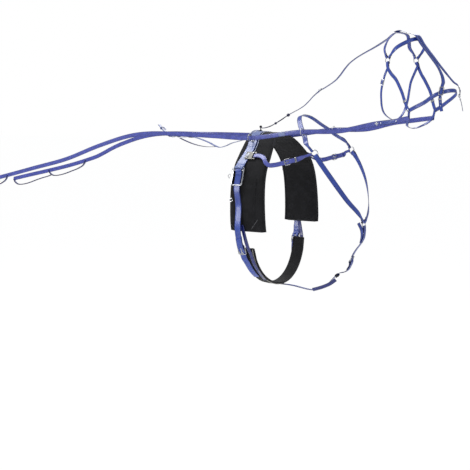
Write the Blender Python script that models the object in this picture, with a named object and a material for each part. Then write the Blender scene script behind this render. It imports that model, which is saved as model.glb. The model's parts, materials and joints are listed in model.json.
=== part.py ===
"""Driving harness for a light carriage or sulky, in the shape that it has when it is worn.

Metres, +X to the front, +Y to the wearer's left, +Z up. The origin is the seat of the saddle:
the underside of the saddle pad, on the middle of the back. Straps are flat ribbons that follow
smooth lines over the body, and each strap end is folded round the ring or bar that it hangs on.
"""

import math

import bmesh
import bpy
from mathutils import Matrix, Vector

for old in list(bpy.data.objects):
    bpy.data.objects.remove(old, do_unlink=True)

# Air and stock that all pieces share
CLEAR = 0.0003
PLY_GAP = 0.0003
OVERRUN = 0.002
WEB = 0.0028
RUN_STEP = 0.034
TIGHT_STEP = 0.015
TAPER = 0.030
sharpest_share = 0.5
SHARP_EDGE = math.radians(38.0)
SIDES = ((-1, "R"), (1, "L"))

# The body that the harness goes round
BARREL_HALF_BREADTH = 0.272
BARREL_DEPTH = 0.735
SHOULDER_REACH = 0.397
SHOULDER_HALF_BREADTH = 0.200
SHOULDER_DROP = 0.078
CHEST_REACH = 0.563
CHEST_DROP = 0.421
NECK_RISE = 0.096
POLL_REACH = 0.785
POLL_SIDE = -0.041
POLL_RISE = 0.475
HEAD_TURN = math.radians(-23.0)
HEAD_LENGTH = 0.294
HEAD_HALF_BREADTH = 0.090
HEAD_DROP = 0.350
TRAIL = 1.900
TRAIL_DROP = 0.340
TRAIL_SPREAD = 0.150

FORWARD = Vector((1, 0, 0))
UP = Vector((0, 0, 1))


def finish(name, colour, roughness, metallic):
    material = bpy.data.materials.new(name)
    material.use_nodes = True
    shader = material.node_tree.nodes["Principled BSDF"]
    shader.inputs["Base Color"].default_value = (*colour, 1)
    shader.inputs["Roughness"].default_value = roughness
    shader.inputs["Metallic"].default_value = metallic
    return material


BLUE_WEB = finish("blue_web", (0.045, 0.075, 0.42), 0.35, 0.0)
BLACK_PAD = finish("black_pad", (0.012, 0.012, 0.014), 0.8, 0.0)
STEEL = finish("steel", (0.72, 0.72, 0.72), 0.22, 1.0)


def solid(name, points, faces, material, frame=None):
    """One closed body; its origin is the frame's, and its faces are turned outward."""
    mesh = bpy.data.meshes.new(name)
    mesh.from_pydata([tuple(p) for p in points], [], faces)
    work = bmesh.new()
    work.from_mesh(mesh)
    bmesh.ops.recalc_face_normals(work, faces=work.faces)
    work.to_mesh(mesh)
    work.free()
    mesh.shade_smooth()
    mesh.set_sharp_from_angle(angle=SHARP_EDGE)
    mesh.materials.append(material)
    piece = bpy.data.objects.new(name, mesh)
    bpy.context.scene.collection.objects.link(piece)
    if frame is not None:
        piece.matrix_world = frame
    return piece


def combine(base, other, operation):
    """A Boolean of two pieces; the second one stays behind as a hidden guide."""
    other.hide_render = True
    other.display_type = "WIRE"
    change = base.modifiers.new(other.name, "BOOLEAN")
    change.operation = operation
    change.solver = "EXACT"
    change.object = other


def frame_at(origin, along, out):
    """Local x runs along, z runs out and y lies across."""
    x = along.normalized()
    z = (out - x * out.dot(x)).normalized()
    y = z.cross(x)
    frame = Matrix((x, y, z)).transposed().to_4x4()
    frame.translation = origin
    return frame


def flat_frame(origin, toward, out):
    """Local z is exactly out, and x is the part of toward that is square to it."""
    z = out.normalized()
    return frame_at(origin, toward - z * toward.dot(z), z)


def axis_of(frame, index):
    return frame.col[index].to_3d()


def wire(name, points, radius, material, frame, closed=True, sides=6, normal=(0, 0, 1)):
    """A round wire along a flat line; normal is square to the line's plane."""
    normal = Vector(normal)
    count = len(points)
    verts = []
    for k, point in enumerate(points):
        before = points[k - 1] if closed or k else points[k]
        after = points[(k + 1) % count] if closed or k < count - 1 else points[k]
        into = (point - before).normalized()
        onto = (after - point).normalized()
        along = (into + onto).normalized()
        outward = along.cross(normal)
        turn = max(along.dot(onto), along.dot(into))
        for j in range(sides):
            angle = math.tau * (j + 0.5) / sides
            verts.append(
                point + outward * (radius * math.cos(angle) / turn) + normal * (radius * math.sin(angle))
            )
    faces = []
    for k in range(count if closed else count - 1):
        a, b = k * sides, ((k + 1) % count) * sides
        for j in range(sides):
            faces.append((a + j, a + (j + 1) % sides, b + (j + 1) % sides, b + j))
    if not closed:
        faces.append(tuple(range(sides)))
        faces.append(tuple(range((count - 1) * sides, count * sides)))
    return solid(name, verts, faces, material, frame)


def circle(radius, count=20):
    turns = [math.tau * k / count for k in range(count)]
    return [Vector((radius * math.cos(a), radius * math.sin(a), 0)) for a in turns]


def rounded_loop(x_low, x_high, half, low_radius, high_radius, steps=4):
    """A rectangle with round corners, in the plane of x and y."""
    corners = (
        (x_high, half, high_radius, 0),
        (x_low, half, low_radius, 1),
        (x_low, -half, low_radius, 2),
        (x_high, -half, high_radius, 3),
    )
    points = []
    for x, y, radius, quarter in corners:
        centre_x = x - math.copysign(radius, x - (x_low + x_high) / 2)
        centre_y = y - math.copysign(radius, y)
        for k in range(steps + 1):
            a = math.pi / 2 * (quarter + k / steps)
            points.append(Vector((centre_x + radius * math.cos(a), centre_y + radius * math.sin(a), 0)))
    return points


def turned(name, profile, material, frame, sides=14):
    """A turned piece about local z, from (radius, height) pairs that end on the axis."""
    verts = [Vector((0, 0, profile[0][1]))]
    for radius, height in profile:
        for j in range(sides):
            a = math.tau * j / sides
            verts.append(Vector((radius * math.cos(a), radius * math.sin(a), height)))
    verts.append(Vector((0, 0, profile[-1][1])))
    faces = []
    for j in range(sides):
        nxt = (j + 1) % sides
        faces.append((0, 1 + j, 1 + nxt))
        for k in range(len(profile) - 1):
            a, b = 1 + k * sides, 1 + (k + 1) * sides
            faces.append((a + j, a + nxt, b + nxt, b + j))
        last = 1 + (len(profile) - 1) * sides
        faces.append((len(verts) - 1, last + j, last + nxt))
    return solid(name, verts, faces, material, frame)


def block(name, low, high, material, frame):
    """A block between two corners, in the frame's axes."""
    verts = [
        Vector((x, y, z)) for x in (low[0], high[0]) for y in (low[1], high[1]) for z in (low[2], high[2])
    ]
    faces = [(0, 1, 3, 2), (4, 5, 7, 6), (0, 1, 5, 4), (2, 3, 7, 6), (0, 2, 6, 4), (1, 3, 7, 5)]
    return solid(name, verts, faces, material, frame)


class Fixture:
    """Where a strap is held: (x, z) points of its middle line, in a frame whose z runs out.

    An end's path starts at the free run, and x runs away from the fitting. A passage's path runs
    the way that the strap goes. open_spans says which spans between the points have a slot, half
    is half the strap's width here if it isn't the full one, and edges can give each point's own.
    """

    def __init__(self, frame, path, open_spans=(), half=None, edges=None):
        self.frame = frame
        self.path = path
        self.open_spans = set(open_spans)
        self.half = half
        self.edges = edges
        self.entry = frame @ Vector((path[0][0], 0, path[0][1]))
        self.exit = frame @ Vector((path[-1][0], 0, path[-1][1]))
        self.away = axis_of(frame, 0)
        self.out = axis_of(frame, 2)

    def stations(self, full, slot, turned_round):
        """(point, across, edges, whether the span to the next point has a slot) for each point."""
        across = axis_of(self.frame, 1) * (-1 if turned_round else 1)
        half = self.half or full
        rows = []
        for k, (x, z) in enumerate(self.path):
            edges = (-half, half)
            if k in self.open_spans or k - 1 in self.open_spans:
                edges = (-half, -slot, slot, half)
            if self.edges:
                edges = self.edges[k]
            if turned_round:
                edges = tuple(-e for e in reversed(edges))
            rows.append((self.frame @ Vector((x, 0, z)), across, edges, k in self.open_spans))
        return rows


def fold(frame, near, far, bar, lap, thick=WEB, slot_reach=None, half=None, side=1, steps=6):
    """A strap end that turns round a bar and laps back on itself.

    near and far are the lowest and highest x of the bar, and bar is half its thickness. The strap
    leaves on the outer side of the bar, or with side -1 on the inner one. With slot_reach, the
    middle of the strap is open from that x, round the turn and back.
    """
    height = bar + CLEAR + thick / 2
    centre = near - CLEAR - thick / 2 + height
    under = height - thick - PLY_GAP
    join = max(far, centre) + CLEAR
    if slot_reach is not None:
        join = max(join, slot_reach + thick / 2)
    rise = height + under
    last = join + rise + lap
    path = [(last + OVERRUN, height)]
    if slot_reach is not None:
        path.append((slot_reach, height))
    first_open = len(path) - 1
    for k in range(steps + 1):
        a = math.pi / 2 + math.pi * k / steps
        path.append((centre + height * math.cos(a), height * math.sin(a)))
    if slot_reach is not None:
        path.append((slot_reach, -height))
    last_open = len(path) - 1
    path += [(join, -height), (join + rise, under), (last, under)]
    spans = range(first_open, last_open) if slot_reach is not None else ()
    return Fixture(frame, [(x, side * z) for x, z in path], spans, half)


def cut_end(point, away, out, lead=0, tuck=0, half=None):
    """A plain end, cut square, sewn flat from its tuck past the point to its lead before it."""
    path = [(lead, 0), (-tuck, 0)] if lead else [(0, 0)]
    return Fixture(flat_frame(point, away, out), path, half=half)


def ring_end(ring, toward, width, lap, thick=WEB):
    """The fold of a strap of this width on a ring, pulled toward a point in the ring's plane."""
    frame = flat_frame(ring["centre"], toward - ring["centre"], ring["out"])
    # The strap's edges touch the inside of the ring nearer its middle than the strap's own middle does
    near = math.sqrt((ring["radius"] - ring["wire"]) ** 2 - (width / 2) ** 2)
    far = ring["radius"] + ring["wire"]
    return fold(frame, near, far, ring["wire"], lap, thick, half=width / 2)


def make_ring(name, centre, out, radius, wire_radius, material=STEEL):
    out = out.normalized()
    helper = FORWARD if abs(out.dot(FORWARD)) < abs(out.dot(UP)) else UP
    wire(name, circle(radius), wire_radius, material, flat_frame(centre, helper, out))
    return {"centre": centre, "out": out, "radius": radius, "wire": wire_radius}


def way_at(points, k):
    """The way of a smooth line at one of its inner points."""
    before, after = points[k] - points[k - 1], points[k + 1] - points[k]
    return (before / before.length_squared + after / after.length_squared).normalized()


def smooth_run(points, outs, first_way, last_way, step):
    """Points, outs and ways along a smooth line, at about one step apart."""
    count = len(points)
    ways = [first_way] + [way_at(points, k) for k in range(1, count - 1)] + [last_way]
    run = []
    for k in range(count - 1):
        a, b = points[k], points[k + 1]
        span = (b - a).length
        pieces = max(2, round(span / step))
        for j in range(pieces + (k == count - 2)):
            t = j / pieces
            from_a, way_a = 2 * t**3 - 3 * t**2 + 1, (t**3 - 2 * t**2 + t) * span
            from_b, way_b = 3 * t**2 - 2 * t**3, (t**3 - t**2) * span
            point = a * from_a + ways[k] * way_a + b * from_b + ways[k + 1] * way_b
            slope = (b - a) * (6 * t - 6 * t**2)
            slope += ways[k] * ((3 * t**2 - 4 * t + 1) * span) + ways[k + 1] * ((3 * t**2 - 2 * t) * span)
            run.append((point, outs[k].lerp(outs[k + 1], t), slope.normalized()))
    return run


def tapered(run, first, full, last):
    """The run's stations, with the half width drawn in toward each end."""
    lengths = [0]
    for (a, _, _), (b, _, _) in zip(run, run[1:]):
        lengths.append(lengths[-1] + (b - a).length)
    rows = []
    for so_far, (point, out, way) in zip(lengths, run):
        near, far = so_far / TAPER, (lengths[-1] - so_far) / TAPER
        half = full - (full - first) * fade(near) - (full - last) * fade(far)
        rows.append((point, out.cross(way), (-half, half), False))
    return rows


def fade(share):
    return (1 + math.cos(math.pi * min(share, 1))) / 2


def between(a, b, is_open):
    """The faces from one row of edge points to the next; a row has two or four."""
    if len(a) == 2 and len(b) == 2:
        return [(a[0], a[1], b[1], b[0])]
    if len(a) == 4 and len(b) == 4:
        cells = (0, 2) if is_open else (0, 1, 2)
        return [(a[c], a[c + 1], b[c + 1], b[c]) for c in cells]
    if len(a) == 4:
        return [(a[0], a[1], b[0]), (a[1], a[2], b[1], b[0]), (a[2], a[3], b[1])]
    return [(a[0], b[1], b[0]), (a[0], a[1], b[2], b[1]), (a[1], b[3], b[2])]


def ribbon(name, stations, thick, material):
    """A flat strap through stations of (point, across, edges, whether the next span is open)."""
    count = len(stations)
    tops, bottoms, verts = [], [], []
    for k, (point, across, edges, _) in enumerate(stations):
        onto = (stations[min(k + 1, count - 1)][0] - stations[min(k, count - 2)][0]).normalized()
        into = (stations[max(k, 1)][0] - stations[max(k - 1, 0)][0]).normalized()
        along = (into + onto).normalized()
        across = (across - along * across.dot(along)).normalized()
        out = along.cross(across)
        bend = (onto - into) / 2
        out_scale = 1 / math.sqrt(max(1 - bend.dot(out) ** 2, sharpest_share))
        across_scale = 1 / math.sqrt(max(1 - bend.dot(across) ** 2, sharpest_share))
        for rows, side in ((tops, 1), (bottoms, -1)):
            rows.append(range(len(verts), len(verts) + len(edges)))
            for edge in edges:
                verts.append(point + across * (edge * across_scale) + out * (side * thick / 2 * out_scale))
    faces = []
    was_open = False
    for k in range(count - 1):
        is_open = stations[k][3]
        top, bottom, next_top, next_bottom = tops[k], bottoms[k], tops[k + 1], bottoms[k + 1]
        faces += between(top, next_top, is_open)
        faces += between(bottom, next_bottom, is_open)
        for i in (0, -1) + ((1, 2) if is_open else ()):
            faces.append((top[i], next_top[i], next_bottom[i], bottom[i]))
        if is_open != was_open:
            faces.append((top[1], top[2], bottom[2], bottom[1]))
        was_open = is_open
    for k in (0, count - 1):
        faces.append((*tops[k], *reversed(bottoms[k])))
    return solid(name, verts, faces, material)


def strap(name, start, links, width, slot=0, thick=WEB, step=RUN_STEP, material=BLUE_WEB):
    """A strap from its first end on; each link is (rows, fixture), and can give its own width.

    A row is (point, out). The last link's fixture is the other end, and the others are passages.
    """
    full = width / 2
    stations = start.stations(full, slot, False)
    flags = [row[3] for row in stations]
    stations = [(*row[:3], flags[k - 1] if k else False) for k, row in enumerate(stations)][:0:-1]
    here, way, out, half = start.entry, start.away, start.out, start.half or full
    for rows, fixture, *own in links:
        is_end = fixture is links[-1][1]
        broad = own[0] / 2 if own else full
        next_half = fixture.half or broad
        points = [here] + [row[0] for row in rows] + [fixture.entry]
        outs = [out] + [row[1].normalized() for row in rows] + [fixture.out]
        run = smooth_run(points, outs, way, fixture.away * (-1 if is_end else 1), step)
        held = fixture.stations(broad, slot, is_end)
        stations += tapered(run, half, broad, next_half)[:-1] + held
        if not is_end:
            stations.pop()
        here, way, out, half = fixture.exit, fixture.away, fixture.out, next_half
    return ribbon(name, stations, thick, material)


# Buckles: a wire frame, a tongue that turns on its heel bar, a fold that holds the heel bar,
# and a billet that passes under the front bar and lies on the fold
SIDE_PLAY = 0.0008
SLIDE_LEAD = 0.004
front_corner_share = 0.12
tip_share = 0.55
bend_share = 0.30
slot_share = 0.10


def buckle_sizes(width, wire_radius, length, tongue_width, thick=WEB):
    return {
        "width": width,
        "wire": wire_radius,
        "length": length,
        "tongue": tongue_width,
        "thick": thick,
        "low": -(wire_radius + CLEAR + thick / 2),
        "high": wire_radius + CLEAR + thick + PLY_GAP + thick / 2,
    }


def buckle_frame(name, sizes, frame, material=STEEL):
    half = sizes["width"] / 2 + SIDE_PLAY + sizes["wire"]
    heel_corner = sizes["wire"] + SIDE_PLAY
    loop = rounded_loop(0, sizes["length"], half, heel_corner, sizes["length"] * front_corner_share, 3)
    return wire(name, loop, sizes["wire"], material, frame)


def buckle_tongue(name, sizes, frame, material=STEEL):
    """The hub turns on the heel bar, and the prong rests on the front bar."""
    bore = sizes["wire"] + CLEAR
    hub = bore + sizes["thick"]
    count = 10
    length, tip = sizes["length"], sizes["wire"] * tip_share
    rest = math.atan2(bore + tip + CLEAR, length)
    half_step = math.pi / count
    turns = [rest + half_step + math.tau * k / count for k in range(count)]
    reach = length + sizes["wire"] + CLEAR
    cos_rest, sin_rest = math.cos(rest), math.sin(rest)
    ends = [(reach * cos_rest - s * tip * sin_rest, reach * sin_rest + s * tip * cos_rest) for s in (1, -1)]
    verts = []
    for y in (-sizes["tongue"] / 2, sizes["tongue"] / 2):
        verts += [Vector((bore * math.cos(a), y, bore * math.sin(a))) for a in turns]
        verts += [Vector((hub * math.cos(a), y, hub * math.sin(a))) for a in turns]
        verts += [Vector((x, y, z)) for x, z in ends]
    row = 2 * count + 2
    faces = []
    for k in range(count):
        nxt = (k + 1) % count
        faces.append((k, nxt, row + nxt, row + k))
        for base in (0, row):
            faces.append((base + k, base + nxt, base + count + nxt, base + count + k))
        if nxt:
            faces.append((count + k, count + nxt, row + count + nxt, row + count + k))
    top, low, tip_top, tip_low = count, 2 * count - 1, 2 * count, 2 * count + 1
    for base in (0, row):
        faces.append((base + top, base + tip_top, base + tip_low, base + low))
    for a, b in ((top, tip_top), (tip_top, tip_low), (tip_low, low)):
        faces.append((a, b, row + b, row + a))
    return solid(name, verts, faces, material, frame)


def heel_end(sizes, frame, lap):
    """The fold on the heel bar, slotted for the tongue; the strap leads away behind the heel."""
    behind = frame_at(frame.translation, -axis_of(frame, 0), axis_of(frame, 2))
    bar = sizes["wire"]
    reach = bar + CLEAR + sizes["thick"] + CLEAR
    return fold(behind, -bar, bar, bar, lap, sizes["thick"], reach)


def billet_end(sizes, frame, tail, lead):
    """The billet, from in front of the front bar, under it, over the heel and back.

    Its slot lets the tongue swing up through it.
    """
    length, low, high = sizes["length"], sizes["low"], sizes["high"]
    start_x, stop_x = length + low * bend_share, high * bend_share
    slot_x = start_x + (stop_x - start_x) * slot_share
    slot_z = low + (high - low) * slot_share
    slot_back = sizes["wire"] + CLEAR
    path = [(length + lead, low), (start_x, low), (slot_x, slot_z), (stop_x, high), (-slot_back, high)]
    path.append((-tail, high))
    return Fixture(frame, path, (2, 3))


def slide(name, sizes, frame):
    """A flat three-bar buckle: a frame with a bar across its middle."""
    half = sizes["width"] / 2 + SIDE_PLAY + sizes["wire"]
    reach = sizes["length"] / 2
    corner = sizes["wire"] + SIDE_PLAY
    body = wire(name, rounded_loop(-reach, reach, half, corner, corner, 3), sizes["wire"], STEEL, frame)
    across = [Vector((0, -half, 0)), Vector((0, half, 0))]
    combine(body, wire(name + "_bar_guide", across, sizes["wire"], STEEL, frame, False), "UNION")


def slide_passage(sizes, frame, lead):
    """A strap's way under the first bar, over the middle one and under the last."""
    reach, room = sizes["length"] / 2, -sizes["low"]
    turn = room * math.tan(math.asin(2 * room / reach) / 2)
    path = [(-reach - lead, -room), (turn - reach, -room), (-turn, room), (turn, room)]
    path += [(reach - turn, -room), (reach + lead, -room)]
    return Fixture(frame, path)


# The barrel's outline under the saddle and girth, from the back down to the belly
barrel_shares = (
    (0, 0), (0.22, 0.011), (0.405, 0.048), (0.55, 0.093), (0.70, 0.143), (0.83, 0.197),
    (0.92, 0.265), (0.975, 0.354), (1.0, 0.463), (0.995, 0.585), (0.955, 0.707), (0.855, 0.816),
    (0.68, 0.905), (0.46, 0.963), (0.22, 0.993), (0, 1.0),
)
GIRTH_LINE_POINTS = 240


def girth_line():
    """The half outline as (length so far, y, z, out y, out z), from the back to the belly."""
    half = [Vector((0, y * BARREL_HALF_BREADTH, -z * BARREL_DEPTH)) for y, z in barrel_shares]
    side, down = Vector((0, 1, 0)), Vector((0, -1, 0))
    run = smooth_run(half, [UP] * len(half), side, down, BARREL_DEPTH / GIRTH_LINE_POINTS)
    line, so_far = [], 0
    for k, (point, _, way) in enumerate(run):
        so_far += (point - run[k - 1][0]).length if k else 0
        line.append((so_far, point, Vector((0, -way.z, way.y))))
    return line


GIRTH_LINE = girth_line()


def barrel(share, side, x, rise):
    """A place on the barrel, at a share of the way down, and the way out of it and down it."""
    want = abs(share) * GIRTH_LINE[-1][0]
    k = next((i for i, row in enumerate(GIRTH_LINE) if row[0] >= want), len(GIRTH_LINE) - 1)
    a, b = GIRTH_LINE[max(k - 1, 0)], GIRTH_LINE[k]
    t = (want - a[0]) / max(b[0] - a[0], CLEAR**2)
    point, out = a[1].lerp(b[1], t), a[2].lerp(b[2], t).normalized()
    out = Vector((0, out.y * side, out.z))
    place = Vector((x, point.y * side, point.z)) + out * rise
    return place, out, out.cross(FORWARD) * side


def between_shares(table, share):
    """A value read from a table of (share, value) rows."""
    for (s0, v0), (s1, v1) in zip(table, table[1:]):
        if share <= s1:
            return v0 + (v1 - v0) * (share - s0) / (s1 - s0)
    return table[-1][1]


def head(row, side=1):
    """A place on the head and the way out, from shares of the head's sizes."""
    a, b, c, *out = row
    turn = Matrix.Rotation(HEAD_TURN, 3, "Z")
    flat = turn @ Vector((a * HEAD_LENGTH, side * b * HEAD_HALF_BREADTH, 0))
    place = Vector((POLL_REACH, POLL_SIDE, POLL_RISE - c * HEAD_DROP)) + flat
    way = turn @ Vector((out[0], side * out[1], out[2])) if out else UP
    return place, way


def head_way(u, v, z):
    return Matrix.Rotation(HEAD_TURN, 3, "Z") @ Vector((u, v, z))


def raised(row, rise):
    """A row lifted off what it lies on."""
    return row[0] + row[1].normalized() * rise, row[1]


# Saddle pad: a thick felted pad over the back and down both sides
PAD_THICK = 0.012
PAD_TOP_WIDTH = 0.135
PAD_FOOT_WIDTH = 0.196
PAD_TOP_SET = 0.030
PAD_FOOT_SET = 0.080
PAD_ROWS = 36
pad_reach_share = 0.58
pad_end_share = 0.6
pad_width_shares = ((0, 0), (0.25, 0.55), (0.40, 0.78), (1, 1))
pad_section_shares = (
    (-1, 0.30), (-0.94, 0.80), (-0.84, 1.0), (0, 1.0), (0.84, 1.0), (0.94, 0.80), (1, 0.30),
)


def strip(name, rows, section, material):
    """A pad from rows of (point on the body, out, half width, thickness), each with this section."""
    verts, width = [], len(section)
    for point, out, half, thick in rows:
        verts += [point + FORWARD * (w * half) + out * (thick * high) for w, high in section]
        verts += [point + FORWARD * (w * half) for w, _ in section]
    faces = []
    for k in range(len(rows) - 1):
        a, b = k * 2 * width, (k + 1) * 2 * width
        for j in range(width - 1):
            faces.append((a + j, a + j + 1, b + j + 1, b + j))
            faces.append((a + width + j, b + width + j, b + width + j + 1, a + width + j + 1))
        for j in (0, width - 1):
            faces.append((a + j, b + j, b + width + j, a + width + j))
    for k in (0, len(rows) - 1):
        a = k * 2 * width
        for j in range(width - 1):
            faces.append((a + j, a + j + 1, a + width + j + 1, a + width + j))
    return solid(name, verts, faces, material)


def saddle_pad():
    rows = []
    for k in range(PAD_ROWS + 1):
        share = pad_reach_share * (2 * k / PAD_ROWS - 1)
        along = between_shares(pad_width_shares, abs(share) / pad_reach_share)
        half = (PAD_TOP_WIDTH + (PAD_FOOT_WIDTH - PAD_TOP_WIDTH) * along) / 2
        x = PAD_TOP_SET + (PAD_FOOT_SET - PAD_TOP_SET) * along
        point, out, _ = barrel(share, -1 if share < 0 else 1, x, 0)
        rows.append((point, out, half, PAD_THICK * (pad_end_share if k in (0, PAD_ROWS) else 1)))
    strip("saddle_pad", rows, pad_section_shares, BLACK_PAD)


saddle_pad()

# Quick hitch: a frame on each side that joins the saddle band, the girth strap and the shaft
HITCH_WIDTH = 0.062
HITCH_LENGTH = 0.088
HITCH_WIRE = 0.0032
HITCH_CORNER = 0.0042
HITCH_BAR_SPACING = 0.0145
HITCH_SET = 0.020
RAIL_WIDTH = 0.010
RAIL_HEIGHT = 0.012
BAND_WIDTH = 0.046
BAND_THICK = 0.0034
GIRTH_WIDTH = 0.034
PIN_RADIUS = 0.0026
PIN_REACH = 0.004
BAIL_LENGTH = 0.017
BAIL_WIDTH = 0.024
BAIL_WIRE = 0.0014
bail_share = 0.62
hitch_share = 0.329
HITCH_RISE = PAD_THICK + CLEAR + HITCH_WIRE + CLEAR + BAND_THICK


def hitch_frame_of(side):
    """Local x runs down the side, z runs out, and the rear rail lies toward side times y."""
    point, out, down = barrel(hitch_share, side, HITCH_SET, HITCH_RISE)
    return frame_at(point, down, out)


def hitch(side, mark):
    frame = hitch_frame_of(side)
    half, low, high = HITCH_WIDTH / 2 - HITCH_WIRE, -HITCH_LENGTH / 2, HITCH_LENGTH / 2
    loop = rounded_loop(low, high, half, HITCH_CORNER, HITCH_CORNER, 3)
    body = wire("hitch_frame_" + mark, loop, HITCH_WIRE, STEEL, frame, sides=8)
    bar_x = low + HITCH_BAR_SPACING
    across = [Vector((bar_x, -half, 0)), Vector((bar_x, half, 0))]
    combine(body, wire("bar_guide_" + mark, across, HITCH_WIRE, STEEL, frame, False, 8), "UNION")
    inner = side * (half - HITCH_WIRE)
    edge = inner + side * RAIL_WIDTH
    rail_low = (low + HITCH_CORNER, min(edge, inner), -RAIL_HEIGHT / 2)
    rail_high = (high - HITCH_CORNER, max(edge, inner), RAIL_HEIGHT / 2)
    combine(body, block("rail_guide_" + mark, rail_low, rail_high, STEEL, frame), "UNION")
    bore = [Vector((0, inner - side * OVERRUN, 0)), Vector((0, edge + side * OVERRUN, 0))]
    hole = wire("bore_guide_" + mark, bore, PIN_RADIUS + CLEAR, STEEL, frame, False, 12)
    combine(body, hole, "DIFFERENCE")
    tip, tail = inner - side * PIN_REACH, edge + side * PIN_REACH
    line = [Vector((0, tip, 0)), Vector((0, tail, 0))]
    pin = wire("hitch_latch_" + mark, line, PIN_RADIUS, STEEL, frame, False, 12)
    shoulder = tail + side * BAIL_LENGTH * bail_share
    bail = [
        Vector((-BAIL_WIDTH / 2, shoulder, 0)),
        Vector((0, tail - side * BAIL_WIRE, 0)),
        Vector((BAIL_WIDTH / 2, shoulder, 0)),
        Vector((0, tail + side * BAIL_LENGTH, 0)),
    ]
    combine(pin, wire("bail_guide_" + mark, bail, BAIL_WIRE, STEEL, frame), "UNION")


for side, mark in SIDES:
    hitch(side, mark)

# Saddle band: the strap over the pad that carries both hitches
BAND_TOP_SET = -0.010
BAND_MID_SET = 0.030
BAND_LAP = 0.010
BAND_RISE = PAD_THICK + CLEAR + BAND_THICK / 2
terret_share, bracket_share = 0.125, 0.222
band_set_shares = ((0, 0), (0.45, 0.9), (0.6, 1), (0.76, 0.8), (1, 0.75))
BAND_ROWS = 12
band_low_share = 0.250
bar_lean_share = 0.012


def band_x(share):
    place_share = between_shares(band_set_shares, share / hitch_share)
    return BAND_TOP_SET + (BAND_MID_SET - BAND_TOP_SET) * place_share


def band_row(share, side):
    point, out, _ = barrel(share, side, band_x(share), BAND_RISE)
    return point, out


def bar_place(side, at):
    """A place in the middle of the hitch, at this distance down from its centre."""
    return hitch_frame_of(side) @ Vector((at, 0, 0))


def band_end(side):
    bar_share = hitch_share - HITCH_LENGTH / 2 / GIRTH_LINE[-1][0]
    _, out, down = barrel(bar_share - bar_lean_share, side, 0, 0)
    frame = frame_at(bar_place(side, -HITCH_LENGTH / 2), -down, out)
    return fold(frame, -HITCH_WIRE, HITCH_WIRE, HITCH_WIRE, BAND_LAP, BAND_THICK, side=-1)


def saddle_band():
    shares = [band_low_share * k / BAND_ROWS for k in range(1, BAND_ROWS + 1)]
    rows = [band_row(s, -1) for s in reversed(shares)]
    rows.append(band_row(0, 1))
    rows += [band_row(s, 1) for s in shares]
    strap("saddle_band", band_end(-1), [(rows, band_end(1))], BAND_WIDTH, thick=BAND_THICK, step=TIGHT_STEP)


saddle_band()

# Side bracket: a plate riveted on the band, with a slotted bar for the side strap
BRACKET_WIDTH = 0.056
BRACKET_LENGTH = 0.046
BRACKET_THICK = 0.003
BRACKET_BAR = 0.0030
BRACKET_SLOT = 0.011
BRACKET_CORNER = 0.005
SIDE_WIDTH = 0.022
SIDE_END_LAP = 0.020
BRACKET_RISE = PAD_THICK + CLEAR + BAND_THICK + CLEAR + BRACKET_THICK / 2


def bracket_frame_of(side):
    """Local x runs down the side, z runs out, and the front lies toward minus side times y."""
    point, out, down = barrel(bracket_share, side, band_x(bracket_share) + BRACKET_WIDTH / 2, BRACKET_RISE)
    return frame_at(point, down, out)


def rounded_rectangle(low, high, corner, steps=3):
    points = []
    corners = ((high[0], high[1]), (low[0], high[1]), (low[0], low[1]), (high[0], low[1]))
    for quarter, (x, y) in enumerate(corners):
        centre_x = x - corner if x == high[0] else x + corner
        centre_y = y - corner if y == high[1] else y + corner
        for k in range(steps + 1):
            a = math.pi / 2 * (quarter + k / steps)
            points.append((centre_x + corner * math.cos(a), centre_y + corner * math.sin(a)))
    return points


def plate(name, outer, inner, thick, material, frame):
    """A flat plate between an outline and a window with as many points."""
    count = len(outer)
    verts = []
    for z in (-thick / 2, thick / 2):
        verts += [Vector((x, y, z)) for x, y in outer + inner]
    faces = []
    for k in range(count):
        nxt = (k + 1) % count
        for base in (0, 2 * count):
            faces.append((base + k, base + nxt, base + count + nxt, base + count + k))
        for base in (0, count):
            top = base + 2 * count
            faces.append((base + k, base + nxt, top + nxt, top + k))
    return solid(name, verts, faces, material, frame)


def side_bracket(side, mark):
    half_x, half_y = BRACKET_LENGTH / 2, BRACKET_WIDTH / 2
    near = -side * (half_y - 2 * BRACKET_BAR)
    far = near + side * BRACKET_SLOT
    window_low = (2 * BRACKET_BAR - half_x, min(near, far))
    window_high = (half_x - 2 * BRACKET_BAR, max(near, far))
    outer = rounded_rectangle((-half_x, -half_y), (half_x, half_y), BRACKET_CORNER)
    inner = rounded_rectangle(window_low, window_high, BRACKET_CORNER / 2)
    plate("hitch_bracket_" + mark, outer, inner, BRACKET_THICK, STEEL, bracket_frame_of(side))


for side, mark in SIDES:
    side_bracket(side, mark)

# Terrets: a ring for the rein on a foot that is bolted through the band
TERRET_RADIUS = 0.0165
TERRET_WIRE = 0.0025
TERRET_STEM = 0.014
FOOT_RADIUS = 0.0095
FOOT_HEIGHT = 0.005
REIN_WIDTH = 0.022
foot_top_share, stem_share = 0.6, 1.25
terret_lean_shares = (0.0, 0.88, 0.47)


def ring_on_foot(name, place, through, out, lean, sizes):
    """A ring that stands on a turned foot; through is the way that the rein goes.

    The rein's middle in the ring is given back, low in the ring by its own weight.
    """
    radius, wire_radius, stem, foot_radius, foot_height = sizes
    top = foot_radius * foot_top_share
    profile = ((foot_radius, 0), (foot_radius, foot_height / 2), (top, foot_height))
    foot = turned(name, profile, STEEL, flat_frame(place, through, out))
    reach = stem + radius + wire_radius
    centre = place + out * (foot_height / 2) + lean.normalized() * reach
    ring_frame = frame_at(centre, lean, through)
    combine(foot, wire(name + "_ring_guide", circle(radius, 18), wire_radius, STEEL, ring_frame), "UNION")
    line = [Vector((-reach, 0, 0)), Vector((-radius, 0, 0))]
    post = wire(name + "_stem_guide", line, wire_radius * stem_share, STEEL, ring_frame, False, 8)
    combine(foot, post, "UNION")
    room = radius - wire_radius - CLEAR * 2
    return centre - UP * (math.sqrt(room**2 - (WEB / 2) ** 2) - REIN_WIDTH / 2)


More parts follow.
